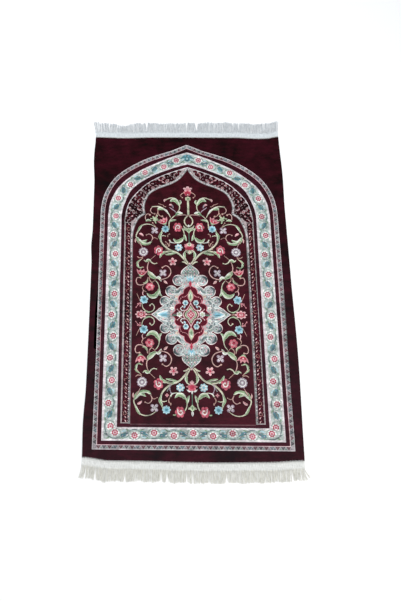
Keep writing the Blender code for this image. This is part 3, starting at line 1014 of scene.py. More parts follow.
# %% Small flowers and fans round the heart
petals("cream", (-46.5, -44), 5, 4.4, 7.6)
disc("blush", (-46.5, -44), 2.2)
petals("white", (-64, -86), 6, 4.4, 7.4)
disc("sage", (-64, -86), 2.8)
petals("white", (-24, -6), 5, 3.6, 6.4)
disc("leaf", (-24, -6), 2.2)
leaf([(-34, -14), (-42, -26), (-56, -30)], 7, 4, "slate", "moss")
leaf([(-58, -52), (-66, -66), (-84, -74)], 7, 4, "slate", "moss")
vine([(-52, -58), (-62, -56), (-72, -62), (-74, -72), (-66, -76)], 2.4, 2.2, "white")
vine([(-34, -22), (-40, -34), (-54, -36), (-62, -44)], 2.4, 2.0, "white")
vine([(-80, -84), (-92, -86), (-104, -92)], 2.4, 2.0, "white")

# blue fans at the top and the sides
FAN = [((-15, 23), "sky", "mist"), ((-11, 31), "sky", "blue"), ((-4, 36), "white", "sky")]
for tip, colour, shade in FAN:
    leaf([(tip[0] * 0.12, 12), (tip[0] * 0.6, (12 + tip[1]) / 2 + 1), tip], 7, 4, colour, shade)
petals("blue", (0, 19), 5, 4, 7, 1, 90)
petals("blue", (0, 2 * MIDDLE - 19), 5, 4, 7, 1, -90)
leaf([(-116, -108), (-99, -101), (-77, -93)], 10, 4, "white", "sky")
leaf([(-110, -108), (-95, -104), (-75, -100)], 9, 4, "sky", "blue")
leaf([(-104, -108), (-91, -108), (-74, -108)], 9, 2, "blue", "teal")
tally()

# %% [markdown]
# The heart is crimson, with a palmette above and below, a flower at each side, and blue buds round a
# nested star.

# %% Heart
for colour, depth in (("blush", 0), ("pink", 0.9), ("rose", 2.0), ("wine", 3.2)):
    paint(colour, fourfold(HEART, depth), 1)
paint("blush", [(-7, 2), (0, 16), (7, 2), (0, -12)], 4)
paint("red", [(-4.5, 3), (0, 13), (4.5, 3), (0, -12)], 4)
tally()

# %% Palmettes of the heart
for colour, start, end, width in (("blush", -17, -66, 20), ("sage", -20, -62, 15.6), ("white", -29, -55, 7),
                                  ("leaf", -34, -54, 6)):
    middle = 0.45 * start + 0.55 * end
    pod = smooth([(0, start), (-width / 2 * 0.8, (start + middle) / 2), (-width / 2, middle),
                  (-width / 2 * 0.72, (middle + end) / 2), (0, end)])
    pod = np.vstack([pod, pod[-2:0:-1] * (-1, 1)])
    paint(colour, pod, 1)
    paint(colour, pod * (1, -1) + (0, 2 * MIDDLE), 1)
leaf([(-66, -108), (-57, -108), (-46, -108)], 12, 2, "umber", "green")
petals("white", (-39, -107), 6, 7, 10.5, 2, 30)
petals("sage", (-39, -107), 6, 3.5, 6, 2)
tally()

# %% Buds and star
petals("white", (-18, -66), 6, 7.6, 10.0)
petals("sky", (-18, -66), 6, 6, 9, 4, 30)
petals("teal", (-18, -68), 5, 3, 5)
leaf([(-18, -76), (-22, -82), (-24, -86)], 6, 4, "sky", None)
vine([(-22, -92), (-30, -94), (-35, -86), (-28, -79)], 3.4, 2.6, "white")
vine([(-30, -98), (-38, -97), (-46, -90)], 2.4, 2.2, "pink")
vine([(-10, -36), (-18, -44), (-28, -46)], 2.2, 2.2, "blush")
vine([(-34, -70), (-38, -60), (-34, -50)], 2.2, 2.2, "blush")
STAR = np.array([(0, 41), (-6.5, 28), (-13, 17.5), (-21, 14), (-27.5, 0)])
for colour, size in (("pink", 1.06), ("wine", 0.92), ("sage", 0.78), ("slate", 0.62), ("pink", 0.55),
                     ("red", 0.42)):
    paint(colour, fourfold(STAR * size), 1)
petals("pink", (0, MIDDLE), 4, 4, 8.5, 1)
disc("red", (0, MIDDLE), 3, 1)
tally()

# %% [markdown]
# Above the medallion the field is longer than below, so its uppermost motifs have no twins at the foot:
# a tall finial under a red flower, and two scrolls at each side of it.

# %% Finial
vine([(0, 262), (0, 290), (0, 322)], 7.5, 0, "vine", 1, (1, 0.95))
vine([(0, 262), (0, 290), (0, 322)], 2.6, 0, "sage", 1, (1, 1))
petals("vine", (0, 331), 6, 8, 11, 1, 30, (1, 0.85))
petals("leaf", (0, 331), 6, 4, 6.5, 1, 30, (1, 0.85))
vine([(0, 262), (-10, 266), (-24, 266), (-42, 262)], 3.2, 0, "tendril", 2)
leaf([(-44, 268), (-34, 274), (-20, 272)], 12, 2, "white", "sage")
leaf([(-48, 262), (-40, 272), (-32, 274)], 7, 2, "leaf", "green")
petals("rose", (-1, 357), 6, 11, 15, 1, 0)
petals("red", (-1, 354), 5, 7, 10, 1, 90)
petals("pink", (0, 371), 5, 7, 14, 1, 90, (1.25, 0.8))
petals("blush", (0, 368), 5, 4, 8, 1, 90, (1.25, 0.8))
disc("pink", (0, 348), 3.2, 1)
vine([(-10, 358), (-22, 352), (-27, 343), (-20, 336)], 3.0, 2.4, "tendril", 2)
tally()

# %% Inner pair of scrolls
vine([(-87, 322), (-76, 330), (-60, 335), (-44, 330), (-34, 315), (-31, 298), (-34, 284), (-41, 277)], 5.2, 0,
     "vine", 2, (0.6, 0.45))
leaf([(-66, 320), (-52, 328), (-40, 318), (-33, 302)], 13, 2)
leaf([(-86, 318), (-86, 326), (-76, 331)], 6, 2, "pink", "tendril")
leaf([(-31, 326), (-27, 318), (-31, 306)], 7, 2)
leaf([(-70, 305), (-63, 307), (-58, 300)], 7, 2, "pink", "blush")
leaf([(-60, 308), (-56, 299), (-54, 292)], 5, 2, "lilac", "ash")
vine([(-68, 296), (-60, 290), (-50, 282), (-44, 274)], 3.4, 0, "lilac", 2)
vine([(-92, 306), (-88, 300), (-82, 299)], 2.6, 1.8, "tendril", 2)
vine([(-92, 306), (-102, 309), (-110, 313)], 2.2, 0, "tendril", 2)
tally()

# %% Outer pair of scrolls
vine([(-133, 298), (-116, 300), (-100, 297), (-84, 287), (-73, 273), (-65, 256)], 5.0, 0, "vine", 2,
     (0.7, 0.5))
leaf([(-112, 288), (-102, 292), (-88, 287)], 11, 2)
leaf([(-92, 291), (-80, 282), (-72, 268)], 7, 2, "white", "vine")
vine([(-132, 297), (-138, 285), (-133, 274), (-123, 270)], 3.4, 3.6, "tendril", 2)
vine([(-156, 246), (-156, 262), (-148, 270), (-140, 266)], 3.2, 3.6, "tendril", 2)
vine([(-111, 287), (-110, 272), (-103, 262), (-95, 260)], 3.0, 3.8, "tendril", 2)
vine([(-111, 276), (-116, 264), (-120, 252)], 3.0, 0, "tendril", 2)
print(len(shapes), "shapes in all")

# %% [markdown]
# ## The cloth
# A picture of the rug could be wrapped on a plane, but then the figures would be only as sharp as its
# pixels. Instead every outline that was drawn above is cut into the mesh: a constrained Delaunay
# triangulation takes all the lines, finds where they cross, and returns triangles that never straddle
# one. Each triangle then takes the colour of the last shape laid over it, which is kept as a colour
# attribute on the face corners, so neighbours don't blend. A loose grid of extra points lets the
# cloth follow its soft creases.

# %% Outline of the cloth
MM = 0.001
EDGE_INSET = 1.2  # the top's flat part ends this far inside the outline
CORNER_RADIUS = 2.5
RIM_STEP = 8.0


def rounded_rectangle(grow):
    """The cloth's outline in millimetres, grown or shrunk, always with the same number of points."""
    u, v = CLOTH_WIDTH / MM / 2 - CORNER_RADIUS, CLOTH_LENGTH / MM / 2 - CORNER_RADIUS
    arcs = []
    for centre, start in (((u, -v), -90), ((u, v), 0), ((-u, v), 90), ((-u, -v), 180)):
        angle = np.radians(start + np.array([0, 30, 60, 90]))
        arcs.append(centre + (CORNER_RADIUS + grow) * np.stack([np.cos(angle), np.sin(angle)], 1))
    run = []
    for arc, following, side in zip(arcs, arcs[1:] + arcs[:1], (v, u, v, u)):
        t = np.linspace(0, 1, int(2 * side / RIM_STEP), endpoint=False)[1:, None]
        run += [arc, arc[-1] + t * (following[0] - arc[-1])]
    return np.vstack(run)


top_loop = rounded_rectangle(-EDGE_INSET)
print("the cloth's outline has", len(top_loop), "points")

# %% [markdown]
# The triangulation needs every outline as edges, and a grid of loose points so that no triangle is
# longer than the creases are wide. It may turn a triangle over, so those that came out clockwise are
# turned back.

# %% Cut along all outlines
RELIEF_STEP = 18.0
MERGE_WITHIN = 1e-3  # points closer than this become one


def cut(outlines, step):
    """Triangulate inside the first outline along all the others, with a grid of points."""
    half_u, half_v = outlines[0].max(axis=0) - step / 2
    grid = np.stack(np.meshgrid(np.arange(-half_u, half_u + 0.1, 2 * half_u / int(2 * half_u / step)),
                                np.arange(-half_v, half_v + 0.1, 2 * half_v / int(2 * half_v / step))), -1)
    points = np.vstack(outlines + [grid.reshape(-1, 2)])
    edges, start = [], 0
    for outline in outlines:
        count = len(outline)
        edges += [(start + k, start + (k + 1) % count) for k in range(count)]
        start += count
    made = delaunay_2d_cdt([Vector(p) for p in points], edges, [], 1, MERGE_WITHIN)
    where = np.zeros(len(outlines[0]), int)  # where the first outline's points went
    for index, sources in enumerate(made[3]):
        for source in sources:
            if source < len(where):
                where[source] = index
    corners = np.array([tuple(p) for p in made[0]])
    faces = np.array(made[2])
    a, b, c = corners[faces[:, 0]], corners[faces[:, 1]], corners[faces[:, 2]]
    area = (b[:, 0] - a[:, 0]) * (c[:, 1] - a[:, 1]) - (b[:, 1] - a[:, 1]) * (c[:, 0] - a[:, 0])
    faces[area < 0] = faces[area < 0][:, ::-1]
    return corners, faces, where


shapes = [(name, woven(outline * MM) / MM) for name, outline in shapes]
top_corners, top_faces, top_rim = cut([top_loop] + [outline for _, outline in shapes], RELIEF_STEP)
print(len(shapes), "shapes cut", len(top_faces), "triangles")

# %% [markdown]
# Which shape shows in a triangle? Asking each of the triangles about each shape would take long. So the
# triangles are sorted by height once, and each shape, from the lowest layer up, asks only those that
# it may reach, and writes its number on those whose middle lies in it.

# %% Find the shape on top


def inside(points, outline):
    """Whether points, sorted by height, lie in an outline, by its winding number."""
    ahead = np.roll(outline, -1, axis=0)
    first = np.searchsorted(points[:, 1], np.minimum(outline[:, 1], ahead[:, 1]))
    last = np.searchsorted(points[:, 1], np.maximum(outline[:, 1], ahead[:, 1]))
    wind = np.zeros(len(points), int)
    for (au, av), (bu, bv), i, j in zip(outline, ahead, first, last):
        if i < j:
            side = (bu - au) * (points[i:j, 1] - av) - (points[i:j, 0] - au) * (bv - av)
            wind[i:j] += (side > 0) if bv > av else -1 * (side < 0)
    return wind != 0


def dyed(corners, faces):
    """The number of the last shape that covers each triangle, or -1 for the ground."""
    middle = corners[faces].mean(axis=1)
    order = np.argsort(middle[:, 1])
    height = middle[order, 1]
    top = np.full(len(faces), -1)
    for number, (_, outline) in enumerate(shapes):
        low, high = outline.min(axis=0), outline.max(axis=0)
        row = order[np.searchsorted(height, low[1]):np.searchsorted(height, high[1])]
        row = row[(middle[row, 0] > low[0]) & (middle[row, 0] < high[0])]
        top[row[inside(middle[row], outline)]] = number
    return top


top_shape = dyed(top_corners, top_faces)
print(round(100 * (top_shape < 0).mean()), "% of the triangles show the ground alone")

# %% [markdown]
# The cloth is about 3 mm thick, as chenille is, and lies with the faint creases of its storage: one
# along the middle at each end, and one from each side where it was folded across. They are soft
# troughs and ridges under 1.5 mm high. A cloth simulation would add nothing, since the
# rug lies flat. The edge is turned over in a few rings, and the underside is closed with a coarser
# mesh, so that the rug is a solid body.

# %% Creases
CREASES = [  # start, end, width, height, all in millimetres
    ((0, 585), (-2, 160), 9, 1.1), ((0, -585), (2, -200), 10, -0.9),
    ((-350, 139), (-150, 134), 9, 1.0), ((350, 45), (140, 50), 10, 0.9), ((-60, 300), (60, 420), 30, 0.5),
]
FADE, SOFTNESS = 0.7, 1.6  # how a crease dies away along itself, and how wide its foot is
SWELLS = [  # place, reach, height
    ((-180, -380), 130, 0.8), ((210, 320), 150, 0.7), ((120, -140), 180, 0.6), ((-250, 430), 120, 0.7),
]


def relief(points):
    """How far the pile stands above its plain thickness, in millimetres."""
    rise = np.zeros(len(points))
    for (au, av), (bu, bv), width, height in CREASES:
        run = np.array([bu - au, bv - av], float)
        length = np.hypot(*run)
        t = np.clip(((points - (au, av)) @ run) / length ** 2, 0, 1)
        away = np.hypot(*(points - (au, av) - t[:, None] * run).T)
        rise += height * (1 - t) ** FADE * hump(away, width * SOFTNESS)
    for centre, reach, height in SWELLS:
        rise += height * hump(np.hypot(*(points - centre).T), reach)
    return rise


print("the pile rises by up to", relief(top_corners).max().round(2), "mm")

# %% [markdown]
# A bake turns each finish into an image, so the cloth needs a map of its own from mesh to image.
# An automatic unwrap would cut it into thousands of scraps. This one is laid by rule: the top side
# fills the left of the square, the turned edge unfolds round it, and the underside is smaller beside it.

# %% Bake layout
EDGE_ROOM, EDGE_DROP = 5, 0.2  # millimetres kept for the edge; where it starts to unfold
FILLED, LEFT_GAP, RIGHT_GAP = 0.97, 0.012, 0.01  # shares of the square
UNDERSIDE_SCALE = 0.6


def bake_layout(flat, height, faces, below_count):
    """Lay the top side large on the left of the square, and the underside small beside it."""
    thick = CLOTH_THICK / MM
    half = np.array([CLOTH_WIDTH, CLOTH_LENGTH]) / MM / 2 + EDGE_ROOM
    fold = flat * (1 + np.maximum(thick - EDGE_DROP - height, 0)[:, None] / half)
    scale = FILLED / (2 * half[1])
    above = fold * scale + (LEFT_GAP + half[0] * scale, 0.5)
    small = scale * UNDERSIDE_SCALE
    under = flat * (-small, small) + (1 - RIGHT_GAP - half[0] * small, 0.5)
    spread = above[faces]
    spread[-below_count:] = under[faces[-below_count:]]
    return spread.reshape(-1, 2)


print("the top side's map is", round(CLOTH_WIDTH / CLOTH_LENGTH * FILLED, 2), "of the square wide")

# %% Mesh of the cloth
UNDERSIDE_STEP = 24.0
TURN_OVER = [  # each ring of the turned edge: how far out from the outline, how far down
    (-0.45, -0.16), (0.0, -0.55), (0.1, -1.3), (0.1, -2.2), (-0.3, -2.8), (-1.0, -3.0)]


def mesh_of(name, points, edges=(), faces=()):
    """Make a mesh from points, edges and faces."""
    mesh = bpy.data.meshes.new(name)
    mesh.from_pydata(points, edges, faces)
    return mesh


def cloth_mesh():
    """Return the cloth as a mesh with dyed corners and a bake layout."""
    thick = CLOTH_THICK / MM
    rings = [rounded_rectangle(grow) for grow, _ in TURN_OVER]
    under, under_faces, under_rim = cut([rounded_rectangle(TURN_OVER[-1][0])], UNDERSIDE_STEP)
    flat = np.vstack([top_corners] + rings[:-1] + [under])
    lift = relief(top_loop)
    height = [thick + relief(top_corners)]
    height += [thick + drop + lift * (1 + drop / thick) for _, drop in TURN_OVER[:-1]]
    height.append(np.zeros(len(under)))
    height = np.concatenate(height)
    count = len(top_loop)
    starts = len(top_corners) + count * np.arange(len(rings) - 1)
    loops = [top_rim] + [start + np.arange(count) for start in starts]
    loops.append(under_rim + starts[-1] + count)
    walls = []
    for outer, inner in zip(loops[1:], loops):
        ahead_outer, ahead_inner = np.roll(outer, -1), np.roll(inner, -1)
        walls += [np.stack([inner, outer, ahead_outer], 1), np.stack([inner, ahead_outer, ahead_inner], 1)]
    below = (under_faces + starts[-1] + count)[:, ::-1]
    faces = np.vstack([top_faces] + walls + [below])
    place = laid(flat[:, 0] * MM, flat[:, 1] * MM)
    mesh = mesh_of("rug_cloth", np.column_stack([place, height * MM]).tolist(), faces=faces.tolist())
    tones = [linear(PAINTS[name]) for name, _ in shapes]
    wall_count = len(faces) - len(top_faces) - len(below)
    dye = np.vstack([np.array(tones + [linear(PAINTS["ground"])])[top_shape],
                     np.tile(linear(PAINTS["ground"]), (wall_count, 1)),
                     np.tile(linear(PAINTS["backing"]), (len(below), 1))])
    colour = mesh.color_attributes.new("dye", "FLOAT_COLOR", "CORNER")
    colour.data.foreach_set("color", np.repeat(dye, 3, axis=0).ravel())
    bake = mesh.uv_layers.new(name="OFBake")
    bake.data.foreach_set("uv", bake_layout(flat, height, faces, len(below)).ravel())
    mesh.polygons.foreach_set("use_smooth", np.ones(len(faces), bool))
    mesh.validate()
    mesh.update()
    return mesh


cloth = placed("rug_cloth", cloth_mesh())
print("cloth", len(cloth.data.polygons), "triangles")

# %% [markdown]
# ## Finishes
# Two effects make the looks, and each is a node group with named inputs. One is the weave: rows of
# chenille tufts across the rug, every tuft a little lighter or darker than the next. It reads object
# coordinates, since the rug lies flat and they are its own. The other is fibre, which all the yarns
# share: the fine fuzz that makes them look soft. Roughness and sheen are set on the shader itself.

# %% Node groups


def shader_group(name, inputs, outputs):
    """Start a shader node group and return it with the sockets of its inputs and outputs."""
    tree = bpy.data.node_groups.new(name, "ShaderNodeTree")
    kinds = {"colour": "NodeSocketColor", "value": "NodeSocketFloat"}
    for label, kind, value in inputs:
        socket = tree.interface.new_socket(label, in_out="INPUT", socket_type=kinds[kind])
        socket.default_value = value
    for label, kind in outputs:
        tree.interface.new_socket(label, in_out="OUTPUT", socket_type=kinds[kind])
    return tree, tree.nodes.new("NodeGroupInput").outputs, tree.nodes.new("NodeGroupOutput").inputs


def node_tools(tree):
    """Return helpers for a tree: add any node, calculate, change a range, and make noise."""
    def add(kind, feeds=(), **settings):
        made = tree.nodes.new(kind)
        for key, value in settings.items():
            setattr(made, key, value)
        for key, value in dict(feeds).items():
            if isinstance(value, bpy.types.NodeSocket):
                tree.links.new(value, made.inputs[key])
            else:
                made.inputs[key].default_value = value
        return made.outputs

    def calc(operation, first, second=0.0):
        return add("ShaderNodeMath", {0: first, 1: second}, operation=operation)[0]

    def vector(operation, first, second):
        feeds = {0: first, ("Scale" if operation == "SCALE" else 1): second}
        return add("ShaderNodeVectorMath", feeds, operation=operation)["Vector"]

    def remap(value, old, new, clamp=True):
        feeds = {0: value, 1: old[0], 2: old[1], 3: new[0], 4: new[1]}
        return add("ShaderNodeMapRange", feeds, clamp=clamp)[0]

    def noise(place, scale, detail, roughness=0.5):
        feeds = {"Vector": place, "Scale": scale, "Detail": detail, "Roughness": roughness}
        return add("ShaderNodeTexNoise", feeds)[0]

    return add, calc, vector, remap, noise


print("a group takes and gives colours and values")

# %% [markdown]
# In the weave each row of tufts is half a sine wave, bent a little by noise, and the tufts along it are
# noise that changes every two millimetres. The dye gets lighter and darker by tuft and in patches, and
# it is painted darker in the grooves between the rows, as shade. A deep red is added more in some
# patches than in others, as the real ground shows it. A painted sheen makes the foot end a little
# lighter, since the pile leans towards it and catches more light there.

# %% Weave
DARKEST = (0.003, 0.0008, 0.0014)


def weave_group():
    """Chenille weave: a tinted colour and a height in metres."""
    tree, given, result = shader_group(
        "chenille weave",
        [("Dye", "colour", (0.5, 0.5, 0.5, 1)),
         ("Row pitch", "value", 0.0011), ("Tuft length", "value", 0.0022), ("Depth", "value", 0.0004),
         ("Speckle", "value", 0.38), ("Mottle", "value", 0.45),
         ("Painted foot sheen", "colour", (0.0115, 0.0072, 0.0092, 1)),
         ("Madder", "colour", (0.014, 0.0007, 0.003, 1))],
        [("Colour", "colour"), ("Height", "value")])
    add, calc, vector, remap, noise = node_tools(tree)
    place = add("ShaderNodeTexCoord")["Object"]
    part = add("ShaderNodeSeparateXYZ", {0: place})
    wander = calc("MULTIPLY", noise(place, 90.0, 1.0), 0.0009)
    row = calc("DIVIDE", calc("ADD", part["Y"], wander), given["Row pitch"])
    column = calc("DIVIDE", part["X"], given["Tuft length"])
    tuft = add("ShaderNodeCombineXYZ", {0: column, 1: row})[0]
    ridge = calc("ABSOLUTE", calc("SINE", calc("MULTIPLY", row, math.pi)))
    grain = noise(tuft, 1.0, 2.0, 0.7)
    streak = noise(vector("MULTIPLY", tuft, (0.25, 1.0, 1.0)), 0.9, 1.0)
    drawn = vector("MULTIPLY", place, (0.45, 1.0, 1.0))  # patches are drawn out across the rug
    speckle = remap(calc("ADD", grain, streak), (0.7, 1.3), (-1.0, 1.0), False)
    mottle = remap(noise(drawn, 70.0, 4.0, 0.7), (0.3, 0.7), (-1.0, 1.0), False)
    # painted shade: the grooves between the rows of tufts are made darker, as if shade fell in them
    painted_groove_shade = remap(ridge, (0.0, 0.5), (-0.25, 0.05))
    gain = calc("ADD", calc("MULTIPLY", speckle, given["Speckle"]), calc("MULTIPLY", mottle, given["Mottle"]))
    gain = calc("MAXIMUM", calc("ADD", calc("ADD", gain, painted_groove_shade), 1.0), 0.15)
    tinted = vector("SCALE", given["Dye"], gain)
    blush = remap(noise(drawn, 34.0, 5.0, 0.75), (0.34, 0.66), (-0.7, 1.0), False)
    broad = remap(noise(place, 5.5, 2.0), (0.36, 0.64), (-0.6, 0.6))
    tinted = vector("ADD", tinted, vector("SCALE", given["Madder"], calc("ADD", blush, broad)))
    tinted = vector("MAXIMUM", tinted, DARKEST)
    # painted sheen: the foot end is made a little lighter, where the leaning pile catches more light
    lean = remap(part["Y"], (0.45, -0.35), (0.0, 1.0))
    tinted = vector("ADD", tinted, vector("SCALE", given["Painted foot sheen"], lean))
    tree.links.new(tinted, result["Colour"])
    height = calc("ADD", ridge, calc("MULTIPLY", grain, 0.8))
    tree.links.new(calc("MULTIPLY", height, given["Depth"]), result["Height"])
    return tree


weave = weave_group()
print(weave.name, "has", len(weave.nodes), "nodes")

# %% [markdown]
# White yarn is never one white. Noise that is stretched along the strands makes some of them greyer,
# and a very fine noise gives the fuzz its height.

# %% Fibre


def fibre_group():
    """Loose fibre: a tint that changes from yarn to yarn, and a fine height."""
    tree, given, result = shader_group(
        "loose fibre",
        [("Yarn", "colour", (0.8, 0.8, 0.8, 1)), ("Shade", "colour", (0.5, 0.5, 0.5, 1)),
         ("Strand width", "value", 0.0016), ("Fuzz", "value", 0.0001)],
        [("Colour", "colour"), ("Height", "value")])
    add, calc, _, remap, noise = node_tools(tree)
    place = add("ShaderNodeTexCoord")["Object"]
    part = add("ShaderNodeSeparateXYZ", {0: place})
    across = calc("DIVIDE", part["X"], given["Strand width"])
    along = calc("MULTIPLY", part["Y"], 90.0)
    strand = noise(add("ShaderNodeCombineXYZ", {0: across, 1: along})[0], 0.8, 2.0)
    share = remap(strand, (0.35, 0.7), (0.0, 1.0))
    tinted = add("ShaderNodeMix", {0: share, 6: given["Yarn"], 7: given["Shade"]}, data_type="RGBA")[2]
    tree.links.new(tinted, result["Colour"])
    tree.links.new(calc("MULTIPLY", noise(place, 2600.0, 2.0), given["Fuzz"]), result["Height"])
    return tree


fibre = fibre_group()
print(fibre.name, "has", len(fibre.nodes), "nodes")

# %% [markdown]
# The finishes differ only in their group's values and in gloss, so one function makes them all. The
# cloth takes its dye from the colour attribute of its mesh. In the photo the head's fringe lies in a
# cooler light than the foot's, so each end's yarn has its own two tones.

# %% Finishes


def finish_material(name, group, feeds, colour_source=None, roughness=0.9, sheen=0.2, bump=0.6, gloss=0.2):
    """A cloth or yarn finish: one shared group into a Principled shader."""
    material = bpy.data.materials.new(name)
    material.use_nodes = True
    tree = material.node_tree
    add, *_ = node_tools(tree)
    shader = tree.nodes["Principled BSDF"]
    for label, value in (("Roughness", roughness), ("Sheen Weight", sheen), ("Sheen Roughness", 0.6),
                         ("Specular IOR Level", gloss)):
        shader.inputs[label].default_value = value
    shared = tree.nodes.new("ShaderNodeGroup")
    shared.node_tree = group
    for label, value in feeds.items():
        shared.inputs[label].default_value = value
    if colour_source:
        dye = add("ShaderNodeAttribute", attribute_name=colour_source)["Color"]
        tree.links.new(dye, shared.inputs["Dye"])
    relief_node = tree.nodes.new("ShaderNodeBump")
    relief_node.inputs["Strength"].default_value = bump
    relief_node.inputs["Distance"].default_value = 1.0
    tree.links.new(shared.outputs["Colour"], shader.inputs["Base Color"])
    tree.links.new(shared.outputs["Height"], relief_node.inputs["Height"])
    tree.links.new(relief_node.outputs["Normal"], shader.inputs["Normal"])
    return material


def yarn_material(name, codes, *looks):
    """A yarn finish from a lit and a shaded tone."""
    lit, shaded = (linear(code) for code in codes)
    return finish_material(name, fibre, {"Yarn": lit, "Shade": shaded}, None, *looks)


# painted light: each end's yarn tones carry the light that falls there, cooler on the head and warmer on the
# foot
YARN_TONES_WITH_PAINTED_LIGHT = {  # lit and shaded yarn at each end: the head is bluer, the foot warmer
    "head": {"fringe": ("e1e5e8", "bdc1c4"), "heading": ("e9eef0", "cdd2d5")},
    "foot": {"fringe": ("f2f1e9", "d0cfc6"), "heading": ("f4f5f3", "d9dad7")},
}
cloth_finish = finish_material("chenille", weave, {}, "dye", 0.95, 0.02, 0.7, 0.04)
fringe_finish = {end: yarn_material("fringe yarn " + end, tones["fringe"], 0.92, 0.2, 0.5)
                 for end, tones in YARN_TONES_WITH_PAINTED_LIGHT.items()}
heading_finish = {end: yarn_material("heading yarn " + end, tones["heading"], 0.9, 0.2, 0.5)
                  for end, tones in YARN_TONES_WITH_PAINTED_LIGHT.items()}
seam_finish = yarn_material("seam thread", ("f2f3f1", "dcdcd8"), 0.8, 0.2, 0.4)
print("finishes:", [material.name for material in bpy.data.materials])

# %% [markdown]
# ## Yarn, swept by Geometry Nodes
# The fringe is some hundreds of yarns an end, and its heading is the same yarn laid side by side and
# bound down. Modelling one yarn and copying it would make a comb. Particle hair would be lost in an
# export. So the script works out a guide line for each yarn, and one node tree sweeps them all: it
# turns the guides into curves, gives each its twist, and draws a three-ply outline along it. The
# tree ends in realized geometry with its material set, and the result is kept as a plain mesh.

# %% The yarn tree
TREE_INPUTS = {"Ply radius": 0.0008, "Hollow between plies": 0.62, "Plies": 3}


def yarn_tree(name):
    """Build a tree that sweeps a plied yarn along guides with point attributes fat and twist."""
    tree = bpy.data.node_groups.new(name, "GeometryNodeTree")
    tree.interface.new_socket("Geometry", in_out="INPUT", socket_type="NodeSocketGeometry")
    for label, value in TREE_INPUTS.items():
        kind = "NodeSocketInt" if isinstance(value, int) else "NodeSocketFloat"
        tree.interface.new_socket(label, in_out="INPUT", socket_type=kind).default_value = value
    tree.interface.new_socket("Yarn material", in_out="INPUT", socket_type="NodeSocketMaterial")
    tree.interface.new_socket("Geometry", in_out="OUTPUT", socket_type="NodeSocketGeometry")

    def node(kind, **settings):
        made = tree.nodes.new(kind)
        for key, value in settings.items():
            setattr(made, key, value)
        return made

    def attribute(label):
        made = node("GeometryNodeInputNamedAttribute", data_type="FLOAT")
        made.inputs["Name"].default_value = label
        return made.outputs["Attribute"]

    link = tree.links.new
    start, end = node("NodeGroupInput"), node("NodeGroupOutput")
    curve, tilt = node("GeometryNodeMeshToCurve"), node("GeometryNodeSetCurveTilt")
    section = node("GeometryNodeCurveStar")
    inner = node("ShaderNodeMath", operation="MULTIPLY")
    sweep = node("GeometryNodeCurveToMesh")
    sweep.inputs["Fill Caps"].default_value = True
    smooth_shade = node("GeometryNodeSetShadeSmooth")
    realize, finish = node("GeometryNodeRealizeInstances"), node("GeometryNodeSetMaterial")
    link(start.outputs["Geometry"], curve.inputs["Mesh"])
    link(curve.outputs["Curve"], tilt.inputs["Curve"])
    link(attribute("twist"), tilt.inputs["Tilt"])
    link(start.outputs["Plies"], section.inputs["Points"])
    link(start.outputs["Ply radius"], section.inputs["Outer Radius"])
    link(start.outputs["Ply radius"], inner.inputs[0])
    link(start.outputs["Hollow between plies"], inner.inputs[1])
    link(inner.outputs["Value"], section.inputs["Inner Radius"])
    link(tilt.outputs["Curve"], sweep.inputs["Curve"])
    link(section.outputs["Curve"], sweep.inputs["Profile Curve"])
    link(attribute("fat"), sweep.inputs["Scale"])
    link(sweep.outputs["Mesh"], smooth_shade.inputs[0])
    link(smooth_shade.outputs[0], realize.inputs[0])
    link(realize.outputs[0], finish.inputs[0])
    link(start.outputs["Yarn material"], finish.inputs["Material"])
    link(finish.outputs[0], end.inputs[0])
    return tree


yarn = yarn_tree("plied yarn")
print(yarn.name, "has", len(yarn.nodes), "nodes")

# %% [markdown]
# The guides reach the tree as bare edges with two numbers on each point: how fat the yarn is there and
# how far it is twisted. The tree's inputs are set by their identifiers before the object is first
# evaluated, and the swept result becomes a mesh of its own.

# %% Sweep the yarns


def swept(name, guides, tree, **values):
    """Run a tree over guide lines and return the result as a plain mesh object.

    A guide is (points, fat, twist): a place, a thickness and a turn for each point."""
    points = np.vstack([guide[0] for guide in guides])
    edges, start = [], 0
    for guide in guides:
        edges += [(start + k, start + k + 1) for k in range(len(guide[0]) - 1)]
        start += len(guide[0])
    mesh = mesh_of(name, points.tolist(), edges)
    for label, column in (("fat", 1), ("twist", 2)):
        data = np.concatenate([guide[column] for guide in guides]).astype(np.float32)
        mesh.attributes.new(label, "FLOAT", "POINT").data.foreach_set("value", data)
    source = placed(name + "_guides", mesh)
    modifier = source.modifiers.new("yarn", "NODES")
    modifier.node_group = tree
    for item in tree.interface.items_tree:
        if item.in_out == "INPUT" and item.name in values:
            modifier[item.identifier] = values[item.name]
    bpy.context.view_layer.update()
    graph = bpy.context.evaluated_depsgraph_get()
    made = bpy.data.meshes.new_from_object(source.evaluated_get(graph))
    source.modifiers.clear()
    bpy.data.objects.remove(source)
    bpy.data.meshes.remove(mesh)
    made.name = name
    piece = placed(name, made)
    print(name, len(guides), "yarns,", sum(len(p.vertices) - 2 for p in made.polygons), "triangles")
    return piece


print("tree inputs:", [item.name for item in yarn.interface.items_tree if item.in_out == "INPUT"])

# %% [markdown]
# ## The fringe
# The strands of a bought fringe start out parallel. Handling parts them into locks, and at a corner
# they fan out. Each parting is a place on the edge that pushes its neighbours aside, most at their
# tips. The yarns lie in three layers from the middle of the heading down to the floor, each with its
# own length, bend and wander, and thin out at the tip, where the plies come apart.

